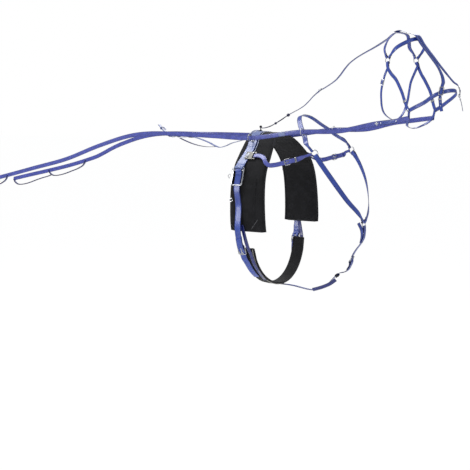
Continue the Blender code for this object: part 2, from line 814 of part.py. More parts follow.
TERRET_AT = {}
for side, mark in SIDES:
    place, out, _ = barrel(terret_share, side, band_x(terret_share), BAND_RISE + BAND_THICK / 2 + CLEAR)
    lean = Vector((terret_lean_shares[0], side * terret_lean_shares[1], terret_lean_shares[2]))
    sizes = (TERRET_RADIUS, TERRET_WIRE, TERRET_STEM, FOOT_RADIUS, FOOT_HEIGHT)
    TERRET_AT[side] = ring_on_foot("terret_" + mark, place, FORWARD, out, lean, sizes)

# Check hook: a knobbed post on the middle of the band that takes the check rein's eye
HOOK_POST = 0.0024
HOOK_HEIGHT = 0.026
HOOK_KNOB = 0.0052
HOOK_FOOT = 0.0085
HOOK_EYE_HEIGHT = 0.014
knob_sweep_share = 0.86
HOOK_PLACE = barrel(0, 1, band_x(0), BAND_RISE + BAND_THICK / 2 + CLEAR)[0]


def check_hook():
    knob = HOOK_HEIGHT - HOOK_KNOB
    profile = [(HOOK_FOOT, 0), (HOOK_FOOT, HOOK_POST), (HOOK_POST * 2, HOOK_POST * 2)]
    profile += [(HOOK_POST, HOOK_POST * 3), (HOOK_POST, knob - HOOK_KNOB)]
    for k in range(5):
        a = math.pi * (k / 4 * knob_sweep_share - 0.5 + (1 - knob_sweep_share))
        profile.append((HOOK_KNOB * math.cos(a), knob + HOOK_KNOB * math.sin(a)))
    frame = frame_at(HOOK_PLACE, FORWARD, UP)
    turned("check_hook", profile[:-1], STEEL, frame, 12)


check_hook()

# Girth buckles, their straps from the hitch, and the billets from the belly girth
GIRTH_WIRE = 0.0027
GIRTH_BUCKLE_LENGTH = 0.036
GIRTH_TONGUE = 0.0055
GIRTH_TAIL = 0.050
GIRTH_LAP = 0.045
GIRTH_BUCKLE_SET = 0.044
GIRTH_STRAP_SET = 0.033
BUCKLE_LEAD = 0.012
BELLY_WIDTH = 0.064
BELLY_THICK = 0.010
BELLY_SIDE_SET = 0.072
BELLY_SET = 0.097
BACKING_WIDTH = 0.034
BACKING_THICK = 0.003
BELLY_ROWS = 28
belly_start_share, belly_end_share = 0.665, 0.5
belly_edge_shares = ((1, 0.35), (0.93, 1.0))
girth_strap_share, girth_buckle_share, girth_slope_share = 0.46, 0.672, 0.06
billet_row_shares, billet_end_share = (0.740, 0.762, 0.784, 0.806), 0.828
girth_sizes = buckle_sizes(GIRTH_WIDTH, GIRTH_WIRE, GIRTH_BUCKLE_LENGTH, GIRTH_TONGUE)
BELLY_SURFACE = BELLY_THICK + BACKING_THICK + CLEAR
GIRTH_RISE = BELLY_SURFACE + CLEAR - girth_sizes["low"] + WEB / 2


def belly_girth():
    """A padded girth under the belly, with a strap sewn along its middle."""
    edge = BACKING_WIDTH / BELLY_WIDTH
    step, full = edge + BACKING_THICK / BELLY_WIDTH, 1 + BACKING_THICK / BELLY_THICK
    half_section = [*belly_edge_shares, (step, 1.0), (edge, full)]
    section = [(-w, high) for w, high in half_section] + half_section[::-1]
    rows = []
    for k in range(BELLY_ROWS + 1):
        way = 2 * k / BELLY_ROWS - 1
        side = -1 if way < 0 else 1
        share = 1 - (1 - belly_start_share) * abs(way)
        x = BELLY_SIDE_SET + (BELLY_SET - BELLY_SIDE_SET) * (1 - abs(way))
        point, out, _ = barrel(share, side, x, 0)
        thick = BELLY_THICK * (belly_end_share if k in (0, BELLY_ROWS) else 1)
        rows.append((point, out, BELLY_WIDTH / 2, thick))
    strip("belly_girth", rows, section, BLACK_PAD)


def girth_buckle_frame(side):
    """Heel bar above and front bar below, so that local x runs down the side."""
    point, out, down = barrel(girth_buckle_share, side, GIRTH_BUCKLE_SET, GIRTH_RISE)
    frame = frame_at(point, down + FORWARD * girth_slope_share, out)
    frame.translation = frame @ Vector((-GIRTH_BUCKLE_LENGTH / 2, 0, 0))
    return frame


def girth_straps(side, mark):
    frame = girth_buckle_frame(side)
    slot = GIRTH_TONGUE / 2 + CLEAR
    buckle_frame("girth_buckle_" + mark, girth_sizes, frame)
    buckle_tongue("girth_tongue_" + mark, girth_sizes, frame)
    hitch_frame = hitch_frame_of(side)
    down, out = axis_of(hitch_frame, 0), axis_of(hitch_frame, 2)
    bar = frame_at(bar_place(side, HITCH_BAR_SPACING - HITCH_LENGTH / 2), down, out)
    top = fold(bar, -HITCH_WIRE, HITCH_WIRE, HITCH_WIRE, BAND_LAP, side=-1)
    under = bar_place(side, HITCH_LENGTH / 2) - out * (HITCH_WIRE + CLEAR + WEB / 2)
    point, way_out, _ = barrel(girth_strap_share, side, GIRTH_STRAP_SET, PAD_THICK + WEB)
    rows = [(under, out), (point, way_out)]
    low = heel_end(girth_sizes, frame, GIRTH_LAP)
    strap("girth_strap_" + mark, top, [(rows, low)], GIRTH_WIDTH, slot)
    rows = []
    for share in billet_row_shares:
        reach = (share - girth_buckle_share) / (billet_end_share - girth_buckle_share)
        x = GIRTH_BUCKLE_SET + (BELLY_SIDE_SET - GIRTH_BUCKLE_SET) * reach
        rows.append(barrel(share, side, x, BELLY_SURFACE + WEB / 2)[:2])
    point, way_out, down = barrel(billet_end_share, side, BELLY_SIDE_SET, BELLY_SURFACE + WEB / 2)
    billet = billet_end(girth_sizes, frame, GIRTH_TAIL, BUCKLE_LEAD)
    end = cut_end(point, -down, way_out)
    strap("girth_billet_" + mark, billet, [(rows, end)], GIRTH_WIDTH, slot, step=TIGHT_STEP)


belly_girth()
for side, mark in SIDES:
    girth_straps(side, mark)


# Regions of the collar, the bridle and the reins; shares of their reach, half breadth and height
# give a place, and the last three numbers of a row give the way out of the body there
def place_in(region, row, side=1):
    reach, half, height = region
    a, b, c, *out = row
    return Vector((a * reach, side * b * half, c * height)), Vector((out[0], side * out[1], out[2]))


SHOULDER = (SHOULDER_REACH, SHOULDER_HALF_BREADTH, -SHOULDER_DROP)
CREST = (SHOULDER_REACH, SHOULDER_HALF_BREADTH, NECK_RISE)
CHEST = (CHEST_REACH, SHOULDER_HALF_BREADTH, -CHEST_DROP)
KEEL = (CHEST_REACH, SHOULDER_HALF_BREADTH, CHEST_DROP - BARREL_DEPTH)

# Breast collar: shoulder rings, the neck strap over the crest and the rein rings on it
NECK_WIDTH = 0.024
NECK_END_WIDTH = 0.012
RING_RADIUS = 0.0175
RING_WIRE = 0.0024
RING_LAP = 0.016
neck_row_shares = (
    (0.925, 0.955, -0.52, 0.15, 1, 0.30),
    (0.791, 0.75, 0.104, 0, 0.80, 0.60),
    (0.700, 0.57, 0.47, -0.1, 0.60, 0.75),
    (0.600, 0.25, 0.92, -0.3, 0.22, 0.95),
)
crest_shares = (0.572, 0, 1.0, -0.35, 0, 1)
shoulder_out_shares = (0.28, 1, 0.10)
shoulder_ring = {}
for side, mark in SIDES:
    centre, out = place_in(SHOULDER, (1, 1, 1, *shoulder_out_shares), side)
    shoulder_ring[side] = make_ring("shoulder_ring_" + mark, centre, out, RING_RADIUS, RING_WIRE)

REIN_RING_RADIUS = 0.0155
REIN_RING_WIRE = 0.0020
REIN_RING_STEM = 0.0015
REIN_RING_FOOT = 0.0075
REIN_RING_FOOT_HEIGHT = 0.004
REIN_RING_AT = {}


def neck_parts(side):
    """The fold on the shoulder ring, and the flat stretch under the rein ring."""
    low, seat, high = (place_in(CREST, row, side) for row in neck_row_shares[:3])
    end = ring_end(shoulder_ring[side], low[0], NECK_END_WIDTH, RING_LAP)
    way = (high[0] - end.entry) * -side
    reach = REIN_RING_FOOT + WEB
    return end, Fixture(flat_frame(seat[0], way, seat[1]), [(-reach, 0), (reach, 0)])


def neck_strap():
    right = [place_in(CREST, row, -1) for row in neck_row_shares[2:]]
    left = [place_in(CREST, row, 1) for row in neck_row_shares[2:]]
    rows = right + [place_in(CREST, crest_shares)] + left[::-1]
    (start, seat), (end, far_seat) = neck_parts(-1), neck_parts(1)
    strap("neck_strap", start, [([], seat), (rows, far_seat), ([], end)], NECK_WIDTH)


def rein_ring(side, mark):
    seat = neck_parts(side)[1]
    place = seat.frame @ Vector((0, 0, WEB / 2 + CLEAR))
    sizes = (REIN_RING_RADIUS, REIN_RING_WIRE, REIN_RING_STEM, REIN_RING_FOOT, REIN_RING_FOOT_HEIGHT)
    REIN_RING_AT[side] = ring_on_foot("rein_ring_" + mark, place, FORWARD, seat.out, seat.out, sizes)


neck_strap()
for side, mark in SIDES:
    rein_ring(side, mark)

# Side straps: from the bracket to a buckle, and the tab that ties the buckle to the shoulder ring
SIDE_WIRE = 0.0020
SIDE_BUCKLE_LENGTH = 0.026
SIDE_TONGUE = 0.0036
SIDE_TAIL = 0.036
SIDE_LAP = 0.030
TAB_END_WIDTH = 0.013
side_sizes = buckle_sizes(SIDE_WIDTH, SIDE_WIRE, SIDE_BUCKLE_LENGTH, SIDE_TONGUE)
side_row_shares = (0.48, 1.31, 1.74, -0.02, 1, -0.05)
side_buckle_shares = (0.735, 1.235, 1.47, 0.12, 1, -0.02)
tab_row_shares = (0.87, 1.11, 1.20, 0.22, 1, 0.02)
bracket_strap_share = 0.055


def side_straps(side, mark):
    slot = SIDE_TONGUE / 2 + CLEAR
    rear = place_in(SHOULDER, side_row_shares, side)
    heel, out = place_in(SHOULDER, side_buckle_shares, side)
    pull = (rear[0] - heel).normalized() + (heel - shoulder_ring[side]["centre"]).normalized()
    frame = flat_frame(heel, pull, out)
    buckle_frame("side_buckle_" + mark, side_sizes, frame)
    buckle_tongue("side_tongue_" + mark, side_sizes, frame)
    bracket = bracket_frame_of(side)
    bar_y = -side * (BRACKET_WIDTH / 2 - BRACKET_BAR)
    bar = bracket @ Vector((BRACKET_LENGTH * bracket_strap_share, bar_y, 0))
    bar_frame = frame_at(bar, FORWARD, axis_of(bracket, 2))
    near = -BRACKET_BAR - BRACKET_THICK / 2
    start = fold(bar_frame, near, BRACKET_BAR, BRACKET_THICK / 2, SIDE_END_LAP)
    billet = billet_end(side_sizes, frame, SIDE_TAIL, BUCKLE_LEAD)
    strap("side_strap_" + mark, start, [([rear], billet)], SIDE_WIDTH, slot)
    tab_row = place_in(SHOULDER, tab_row_shares, side)
    tab_end = ring_end(shoulder_ring[side], tab_row[0], TAB_END_WIDTH, RING_LAP)
    strap("side_tab_" + mark, heel_end(side_sizes, frame, SIDE_LAP), [([], tab_end)], SIDE_WIDTH, slot)


for side, mark in SIDES:
    side_straps(side, mark)

# Breast straps: from the shoulder rings across the chest to the chest ring
BREAST_WIDTH = 0.024
BREAST_END_WIDTH = 0.016
breast_row_shares = (
    (0.844, 0.90, 0.454, 0.60, 0.80, 0),
    (0.941, 0.60, 0.705, 0.85, 0.50, 0.05),
)
breast_end_shares = (1.003, 0.25, 0.874, 0.98, 0.15, 0.10)
chest_out_shares = (1, 0, 0.05)
CHEST_RING = make_ring(
    "chest_ring", *place_in(CHEST, (1, 0, 1, *chest_out_shares)), RING_RADIUS, RING_WIRE
)


def breast_strap(side, mark):
    rows = [place_in(CHEST, row, side) for row in breast_row_shares]
    start = ring_end(shoulder_ring[side], rows[0][0], BREAST_WIDTH, RING_LAP)
    toward = place_in(CHEST, breast_end_shares, side)[0]
    end = ring_end(CHEST_RING, toward, BREAST_END_WIDTH, RING_LAP)
    strap("breast_strap_" + mark, start, [(rows, end)], BREAST_WIDTH)


for side, mark in SIDES:
    breast_strap(side, mark)

# Chest strap and belly strap: from the chest ring, between the forelegs, to the belly girth
CHEST_WIRE = 0.0020
CHEST_BUCKLE_LENGTH = 0.024
CHEST_TONGUE = 0.0038
CHEST_TAIL = 0.045
CHEST_LAP = 0.036
chest_row_shares = (0.975, 0, 0.248, 0.95, 0, -0.30)
chest_heel_shares = (0.886, 0, 0.583, 0.85, 0, -0.53)
belly_row_shares = (
    (0.789, 0, 0.778, 0.60, 0, -0.80),
    (0.600, 0, 1.066, 0.30, 0, -0.95),
)
belly_strap_end_share = 0.55
chest_sizes = buckle_sizes(BREAST_WIDTH, CHEST_WIRE, CHEST_BUCKLE_LENGTH, CHEST_TONGUE)


def below_chest(row):
    """A place from the height of the chest ring down to the belly."""
    place, out = place_in(KEEL, row)
    return place - UP * CHEST_DROP, out


def chest_and_belly_straps():
    slot = CHEST_TONGUE / 2 + CLEAR
    upper = below_chest(chest_row_shares)
    heel, out = below_chest(chest_heel_shares)
    frame = frame_at(heel, upper[0] - heel, out)
    buckle_frame("chest_buckle", chest_sizes, frame)
    buckle_tongue("chest_tongue", chest_sizes, frame)
    start = ring_end(CHEST_RING, upper[0], BREAST_WIDTH, RING_LAP)
    billet = billet_end(chest_sizes, frame, CHEST_TAIL, BUCKLE_LEAD)
    strap("chest_strap", start, [([], billet)], BREAST_WIDTH, slot)
    girth_x = BELLY_SET - BELLY_WIDTH / 2 * belly_strap_end_share
    under = barrel(1, 1, girth_x, BELLY_SURFACE + WEB / 2)[0]
    edge = barrel(1, 1, BELLY_SET + BELLY_WIDTH, BELLY_SURFACE + WEB)[0]
    rows = [below_chest(row) for row in belly_row_shares] + [(edge, -UP)]
    start = heel_end(chest_sizes, frame, CHEST_LAP)
    strap("belly_strap", start, [(rows, cut_end(under, FORWARD, -UP))], BREAST_WIDTH, slot)


chest_and_belly_straps()

# Bridle: a crown strap, a browband and cheek straps on two rings, and a noseband
BRIDLE = 0.0025
BRIDLE_WIDTH = 0.018
BRIDLE_END_WIDTH = 0.012
CROWN_RADIUS = 0.015
CROWN_WIRE = 0.0019
CROWN_LAP = 0.012
PLY_STEP = BRIDLE + CLEAR
crown_ring_shares = (-0.095, 1.0, 0.343, -0.05, 1, 0.10)
crown_row_shares = ((-0.204, 0.889, 0.191, -0.2, 1, 0.3), (-0.156, 0.5, 0.009, -0.2, 0.5, 1))
crown_top_shares = (-0.204, 0, -0.017, -0.2, 0, 1)
brow_row_shares = ((0.075, 0.978, 0.197, 0.4, 1, 0.2), (0.170, 0.667, 0.130, 0.8, 0.6, 0.3))
brow_top_shares = (0.220, 0, 0.077, 1, 0, 0.35)
cheek_row_shares = (
    (-0.044, 1.0, 0.503, 0, 1, 0),
    (0.092, 1.0, 0.594, 0, 1, 0),
    (0.231, 1.0, 0.760, 0, 1, 0),
)
cheek_end_shares = (0.306, 0.944, 0.926, 0, 1, 0)
junction_shares = (0.367, 0.889, 0.997, 0, 1, 0)
nose_row_shares = (
    (0.660, 0.778, 0.886, 0.3, 1, 0),
    (0.874, 0.667, 0.786, 0.6, 0.9, 0.1),
    (0.986, 0.222, 0.743, 1, 0.3, 0.3),
)
crown_ring = {}
for side, mark in SIDES:
    centre, out = head(crown_ring_shares, side)
    crown_ring[side] = make_ring("crown_ring_" + mark, centre, out, CROWN_RADIUS, CROWN_WIRE)


def bridle_end(side, row, width):
    return ring_end(crown_ring[side], row[0], width, CROWN_LAP, BRIDLE)


def over_the_head(name, row_shares, top_shares, width):
    """A strap from ring to ring, over the poll or over the brow."""
    right = [head(row, -1) for row in row_shares]
    left = [head(row, 1) for row in row_shares]
    rows = right + [head(top_shares)] + left[::-1]
    start, end = bridle_end(-1, right[0], BRIDLE_END_WIDTH), bridle_end(1, left[0], BRIDLE_END_WIDTH)
    strap(name, start, [(rows, end)], width, thick=BRIDLE)


def junction(side, layer, toward):
    """A strap's sewn end at the corner of the mouth, in its layer from the inside."""
    place, out = raised(head(junction_shares, side), layer * PLY_STEP)
    return cut_end(place, toward - place, out, BRIDLE_WIDTH / 2)


def cheek_strap(side, mark):
    rows = [head(row, side) for row in cheek_row_shares]
    start = bridle_end(side, rows[0], BRIDLE_WIDTH)
    end = junction(side, 2, head(cheek_end_shares, side)[0])
    strap("cheek_strap_" + mark, start, [(rows[1:], end)], BRIDLE_WIDTH, thick=BRIDLE)


def noseband():
    right = [head(row, -1) for row in nose_row_shares]
    left = [head(row, 1) for row in nose_row_shares]
    start, end = junction(-1, 1, right[0][0]), junction(1, 1, left[0][0])
    strap("noseband", start, [(right + left[::-1], end)], BRIDLE_WIDTH, thick=BRIDLE)


over_the_head("crown_strap", crown_row_shares, crown_top_shares, BRIDLE_WIDTH)
over_the_head("browband", brow_row_shares, brow_top_shares, BRIDLE_WIDTH)
for side, mark in SIDES:
    cheek_strap(side, mark)
noseband()

# Throatlatch and chin strap: round the throat from cheek to cheek, and under the chin
THROAT_WIDTH = 0.014
THROAT_WIRE = 0.0017
THROAT_BUCKLE_LENGTH = 0.026
THROAT_TOP_REACH = 0.030
throat_sizes = buckle_sizes(THROAT_WIDTH, THROAT_WIRE, THROAT_BUCKLE_LENGTH, 0, BRIDLE)
throat_buckle_shares = (-0.207, 1.0, 0.631, -0.05, 1, 0)
throat_row_shares = (
    (-0.248, 0.933, 0.866, -0.1, 1, 0),
    (-0.262, 0.711, 1.026, -0.1, 0.8, -0.6),
    (-0.245, 0.333, 1.106, -0.1, 0.3, -1),
)
throat_low_shares = (-0.238, 0, 1.129, -0.1, 0, -1)
chin_row_shares = ((0.340, 0.833, 1.094, 0, 1, -0.1), (0.207, 0.500, 1.200, -0.1, 0.6, -0.8))
chin_low_shares = (0.187, 0, 1.229, -0.2, 0, -1)


def throat_top(side):
    """The throatlatch's end, sewn under the lap of the cheek strap."""
    ring = crown_ring[side]
    cheek = flat_frame(ring["centre"], head(cheek_row_shares[0], side)[0] - ring["centre"], ring["out"])
    depth = CROWN_WIRE + CLEAR + BRIDLE / 2 - BRIDLE - PLY_GAP - PLY_STEP - CLEAR
    place = cheek @ Vector((THROAT_TOP_REACH, 0, depth))
    return cut_end(place, head(throat_buckle_shares, side)[0] - place, ring["out"])


def throatlatch():
    heel, out = head(throat_buckle_shares, -1)
    right = [head(row, -1) for row in throat_row_shares]
    left = [head(row, 1) for row in throat_row_shares]
    top = throat_top(-1)
    frame = flat_frame(heel, right[0][0] - top.entry, out)
    slide("throat_buckle", throat_sizes, frame)
    rows = right + [head(throat_low_shares)] + left[::-1] + [head(throat_buckle_shares, 1)]
    links = [([], slide_passage(throat_sizes, frame, SLIDE_LEAD)), (rows, throat_top(1))]
    strap("throatlatch", top, links, THROAT_WIDTH, thick=BRIDLE)


def chin_strap():
    right = [head(row, -1) for row in chin_row_shares]
    left = [head(row, 1) for row in chin_row_shares]
    start, end = junction(-1, 0, right[0][0]), junction(1, 0, left[0][0])
    rows = right + [head(chin_low_shares)] + left[::-1]
    strap("chin_strap", start, [(rows, end)], THROAT_WIDTH, thick=BRIDLE)


throatlatch()
chin_strap()

# Overcheck: the check rein runs from the hook along the crest to the poll, and two face straps
# run on from it between the ears, down the face and over the noseband to their buckles
CHECK_WIDTH = 0.018
CHECK_TAIL_WIDTH = 0.011
CHECK_WIRE = 0.0017
CHECK_BUCKLE_LENGTH = 0.028
CHECK_EYE = 0.010
POLL_LAP = 0.006
FACE_WIDTH = 0.017
FACE_END_WIDTH = 0.014
FACE_GAP = 0.0012
NOSE_BUCKLE_LENGTH = 0.034
NOSE_WIRE = 0.0017
POLL = (POLL_REACH, SHOULDER_HALF_BREADTH, POLL_RISE)
check_head_shares = ((-0.40, 0, 0.045, -0.4, 0, 1), (-0.615, 0, 0.123, -0.5, 0, 1))
check_neck_shares = ((0.609, 0, 0.726, -0.5, 0, 1), (0.516, 0, 0.558, -0.6, 0, 1))
check_buckle_shares = (0.410, 0, 0.459, -0.6, 0, 1)
check_tail_shares = (
    (0.300, 0, 0.300, -0.5, 0, 1),
    (0.184, 0, 0.200, -0.5, 0, 1),
    (0.097, 0, 0.116, -0.3, 0, 1),
)
face_row_shares = (
    (0.085, 0, -0.002, 0, 0, 1),
    (0.224, 0, 0.030, 0.6, 0, 1),
    (0.330, 0, 0.130, 1, 0, 0.8),
    (0.548, 0, 0.306, 1, 0, 1),
    (0.780, 0.05, 0.500, 1, 0.05, 0.9),
)
face_turn_shares = (0.918, 0.400, 0.645, 1, 0.35, 0.5)
nose_buckle_shares = (0.955, 0.640, 0.745, 0.9, 0.8, 0.15)
face_cross_shares = (0.962, 0.720, 0.850, 0.9, 0.9, 0)
face_tail_shares = (1.000, 0.735, 0.997, 0.9, 0.9, 0)
check_sizes = buckle_sizes(CHECK_WIDTH, CHECK_WIRE, CHECK_BUCKLE_LENGTH, 0, BRIDLE)
nose_sizes = buckle_sizes(FACE_END_WIDTH, NOSE_WIRE, NOSE_BUCKLE_LENGTH, 0, BRIDLE)


def check_rein():
    """From the poll, where it is sewn on the crown strap, back to the eye on the hook."""
    front, out = raised(head(crown_top_shares), PLY_STEP)
    head_rows = [head(row) for row in check_head_shares]
    neck_rows = [place_in(POLL, row) for row in check_neck_shares]
    heel, heel_out = place_in(POLL, check_buckle_shares)
    tail_rows = [place_in(POLL, row) for row in check_tail_shares]
    frame = flat_frame(heel, tail_rows[0][0] - neck_rows[-1][0], heel_out)
    slide("check_buckle", check_sizes, frame)
    eye = HOOK_PLACE + UP * HOOK_EYE_HEIGHT
    half, hole = CHECK_TAIL_WIDTH / 2, HOOK_POST + 2 * CLEAR
    reach = CHECK_EYE / 2
    path = [(reach * 3, 0), (reach, 0), (-reach, 0), (-reach * 2, 0)]
    solid_edges, eye_edges = (-half, half), (-half, -hole, hole, half)
    end = Fixture(
        frame_at(eye, FORWARD, UP), path, (1,), half, [solid_edges, eye_edges, eye_edges, solid_edges]
    )
    start = cut_end(front, head_way(-1, 0, 0), out, BRIDLE_WIDTH, POLL_LAP)
    passage = slide_passage(check_sizes, frame, SLIDE_LEAD)
    links = [(head_rows + neck_rows, passage), (tail_rows, end, CHECK_TAIL_WIDTH)]
    strap("check_rein", start, links, CHECK_WIDTH, thick=BRIDLE)


def face_strap(side, mark):
    aside = head_way(0, side * (FACE_WIDTH + FACE_GAP) / 2, 0)
    start_place, start_out = raised(head(crown_top_shares), 2 * PLY_STEP)
    rows = [(place + aside, out) for place, out in (head(row, side) for row in face_row_shares)]
    turn = head(face_turn_shares, side)
    centre, out = head(nose_buckle_shares, side)
    cross = head(face_cross_shares, side)
    frame = flat_frame(centre, cross[0] - turn[0], out)
    slide("nose_buckle_" + mark, nose_sizes, frame)
    tail, tail_out = head(face_tail_shares, side)
    start = cut_end(start_place + aside, head_way(1, 0, 0), start_out, BRIDLE_WIDTH, POLL_LAP)
    passage = slide_passage(nose_sizes, frame, SLIDE_LEAD)
    passage.half = FACE_END_WIDTH / 2
    end = cut_end(tail, cross[0] - tail, tail_out, half=FACE_END_WIDTH / 2)
    links = [(rows + [turn], passage), ([], end, FACE_END_WIDTH)]
    strap("face_strap_" + mark, start, links, FACE_WIDTH, thick=BRIDLE)


check_rein()
for side, mark in SIDES:
    face_strap(side, mark)

# Reins: from the chin strap through the rein ring and the terret, with loops for the hand at the
# rear, each of a narrower strap that drops from the rein and runs on to the next loop
REIN_SEAT = 0.0008
REIN_STEP = 0.055
HAND_DROP = 0.046
HAND_WIDTH = 0.013
HAND_THICK = 0.0024
RIGHT_HAND_LENGTH = 0.230
LEFT_HAND_LENGTH = 0.560
HAND_LOOPS = {-1: (1, RIGHT_HAND_LENGTH), 1: (2, LEFT_HAND_LENGTH)}
REIN_END_LEAD = 0.030
REIN = (POLL_REACH, SHOULDER_HALF_BREADTH, NECK_RISE)
REAR = (-TRAIL, TRAIL_SPREAD, -TRAIL_DROP)
rein_front_shares = {
    -1: ((0.983, 0.66, 0.80, 0, 1, 0), (0.869, 0.65, 0.68, 0, 1, 0), (0.642, 0.74, 0.30, 0, 1, 0)),
    1: ((1.0, 0.18, 0.80, 0, 1, 0), (0.869, 0.42, 0.68, 0, 1, 0), (0.642, 0.72, 0.30, 0, 1, 0)),
}
rein_rear_shares = {
    -1: ((0.106, 0.80, 0.032), (0.199, 0.60, 0.022), (0.416, 0.333, 0.070), (0.523, 0.333, 0.235),
         (0.649, 0.333, 0.476), (0.770, 0.333, 0.640)),
    1: ((0.106, 0.80, 0.032), (0.199, 0.60, 0.030), (0.416, 0.667, 0.085), (0.526, 0.867, 0.25)),
}
hand_start_shares = {-1: (0.880, 0.333, 0.788), 1: (0.662, 1.0, 0.526)}
hand_slope_share = 0.233
hand_drop_shares = (
    (0, 0), (0.012, 0.30), (0.04, 0.60), (0.09, 0.82), (0.17, 0.94), (0.30, 1.0), (0.45, 0.97),
    (0.62, 0.87),
)
hand_join_shares = ((0.80, 0.80), (0.95, 0.78), (1.06, 0.70))
hand_rise_shares = ((0.80, 0.74), (0.93, 0.50), (1.0, 0.15), (1.02, 0))


def hand_frame(side):
    """Local x runs to the front along the rein, from the rear end of its loops."""
    place, out = place_in(REAR, (*hand_start_shares[side], 0, 1, 0), side)
    away = FORWARD + UP * hand_slope_share
    return frame_at(place - away.normalized() * HAND_LOOPS[side][1], away, out)


def hand_loop(side, mark, k):
    """One loop's strap, from where it leaves the rein; the last one rises to the rein again."""
    count, length = HAND_LOOPS[side]
    frame = hand_frame(side)
    drop = -math.copysign(HAND_DROP, axis_of(frame, 1).z)
    shares = hand_drop_shares + (hand_join_shares if k + 1 < count else hand_rise_shares)
    points = [frame @ Vector(((k + x) * length / count, y * drop, 0)) for x, y in shares]
    stations = []
    for j, point in enumerate(points):
        way = points[min(j + 1, len(points) - 1)] - points[max(j - 1, 0)]
        across = axis_of(frame, 2).cross(way).normalized()
        stations.append((point, across, (-HAND_WIDTH / 2, HAND_WIDTH / 2), False))
    return ribbon(f"hand_guide_{mark}_{k}", stations, HAND_THICK - k * CLEAR, BLUE_WEB)


def rein(side, mark):
    chin, out = head(chin_row_shares[0], side)
    way = way_at([head(junction_shares, side)[0], chin, head(chin_row_shares[1], side)[0]], 1)
    front, out = raised((chin, out - way * out.dot(way)), BRIDLE / 2 + WEB / 2 + REIN_SEAT)
    rows = [place_in(REIN, row, side) for row in rein_front_shares[side]]
    away = rows[0][0] - front
    across = Vector((0, side, 0))
    rows += [(REIN_RING_AT[side], across), (TERRET_AT[side], across)]
    rows += [place_in(REAR, (*row, 0, 1, 0), side) for row in rein_rear_shares[side]]
    start = cut_end(front, away, out, THROAT_WIDTH, THROAT_WIDTH / 2)
    count, length = HAND_LOOPS[side]
    end = Fixture(hand_frame(side), [(length + REIN_END_LEAD, 0), (0, 0)])
    body = strap("rein_" + mark, start, [(rows, end)], REIN_WIDTH, step=REIN_STEP)
    for k in range(count):
        combine(body, hand_loop(side, mark, k), "UNION")


for side, mark in SIDES:
    rein(side, mark)

# Back strap: from the saddle band along the back to its buckle
BACK_WIDTH = 0.024
BACK_REACH = 0.632
BACK_SAG = 0.073
BACK_BUCKLE_LENGTH = 0.034
BACK_WIRE = 0.0020
BACK = (-BACK_REACH, BACK_WIDTH, -BACK_SAG)
back_sizes = buckle_sizes(BACK_WIDTH, BACK_WIRE, BACK_BUCKLE_LENGTH, 0)
back_row_shares = (
    (0.100, 0, -0.02, 0, 0, 1),
    (0.125, 0, 0.19, 0, 0, 1),
    (0.286, 0, 0.685, 0, 0, 1),
    (0.402, 0, 1.0, 0, 0, 1),
    (0.498, 0, 0.70, 0, 0, 1),
    (0.644, 0, 0.343, 0, 0, 1),
)
back_buckle_shares = (0.824, 0, 0.301, 0, 0, 1)
back_tail_shares = ((0.915, 0, 0.150, 0.2, 0, 1), (1.0, 0, -0.507, 0.8, 0, 1))


def back_strap():
    top = HOOK_PLACE + FORWARD * -(HOOK_FOOT + 2 * CLEAR) + UP * (WEB / 2)
    rows = [place_in(BACK, row) for row in back_row_shares]
    centre, out = place_in(BACK, back_buckle_shares)
    tail, end = (place_in(BACK, row) for row in back_tail_shares)
    frame = flat_frame(centre, tail[0] - rows[-1][0], out)
    slide("back_buckle", back_sizes, frame)
    passage = slide_passage(back_sizes, frame, SLIDE_LEAD)
    links = [(rows, passage), ([tail], cut_end(end[0], tail[0] - end[0], end[1]))]
    start = cut_end(top, -FORWARD, UP, BAND_WIDTH / 2)
    strap("back_strap", start, links, BACK_WIDTH)


back_strap()
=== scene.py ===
import json
import math

import bmesh
import bpy
from mathutils import Matrix, Vector
from mathutils.bvhtree import BVHTree
from mathutils.kdtree import KDTree


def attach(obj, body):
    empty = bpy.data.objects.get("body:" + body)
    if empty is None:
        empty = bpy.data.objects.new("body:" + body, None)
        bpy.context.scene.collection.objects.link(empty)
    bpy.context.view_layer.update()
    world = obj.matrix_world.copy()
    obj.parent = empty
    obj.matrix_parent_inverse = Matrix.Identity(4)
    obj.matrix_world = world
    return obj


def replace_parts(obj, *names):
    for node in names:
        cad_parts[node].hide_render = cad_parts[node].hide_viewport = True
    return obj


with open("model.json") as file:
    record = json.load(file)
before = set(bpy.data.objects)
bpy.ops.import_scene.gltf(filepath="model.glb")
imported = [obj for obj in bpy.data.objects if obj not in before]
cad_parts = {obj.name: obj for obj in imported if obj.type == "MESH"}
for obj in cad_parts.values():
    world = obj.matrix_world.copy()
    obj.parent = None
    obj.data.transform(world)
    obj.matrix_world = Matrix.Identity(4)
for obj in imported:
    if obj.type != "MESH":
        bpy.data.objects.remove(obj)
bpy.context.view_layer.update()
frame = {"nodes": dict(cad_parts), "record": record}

# Studio: white all round, with a pale floor at the height that the wearer stands on and large
# soft lamps above, behind and to both sides. The camera stands where the photograph was taken,
# and its lens gives the photograph's field of view.
FLOOR_HEIGHT, FLOOR_SIZE, FLOOR_CLOUDS = -1.580, 60, 6.0
FLOOR_SHADES = ((0.94, 0.94, 0.94), (0.98, 0.98, 0.98))
FLOOR_GLOW, GLOW_SHARE = 1.045, 0.92
AIR_COLOUR, AIR_POWER = (0.94, 0.96, 1.0), 0.46
LAMP_WHITE = (1, 1, 1)
CAMERA_PLACE = (2.874, -4.951, 0.215)
CAMERA_TURN = 0.550
CAMERA_TILT = 0.126
LENS = 87.2
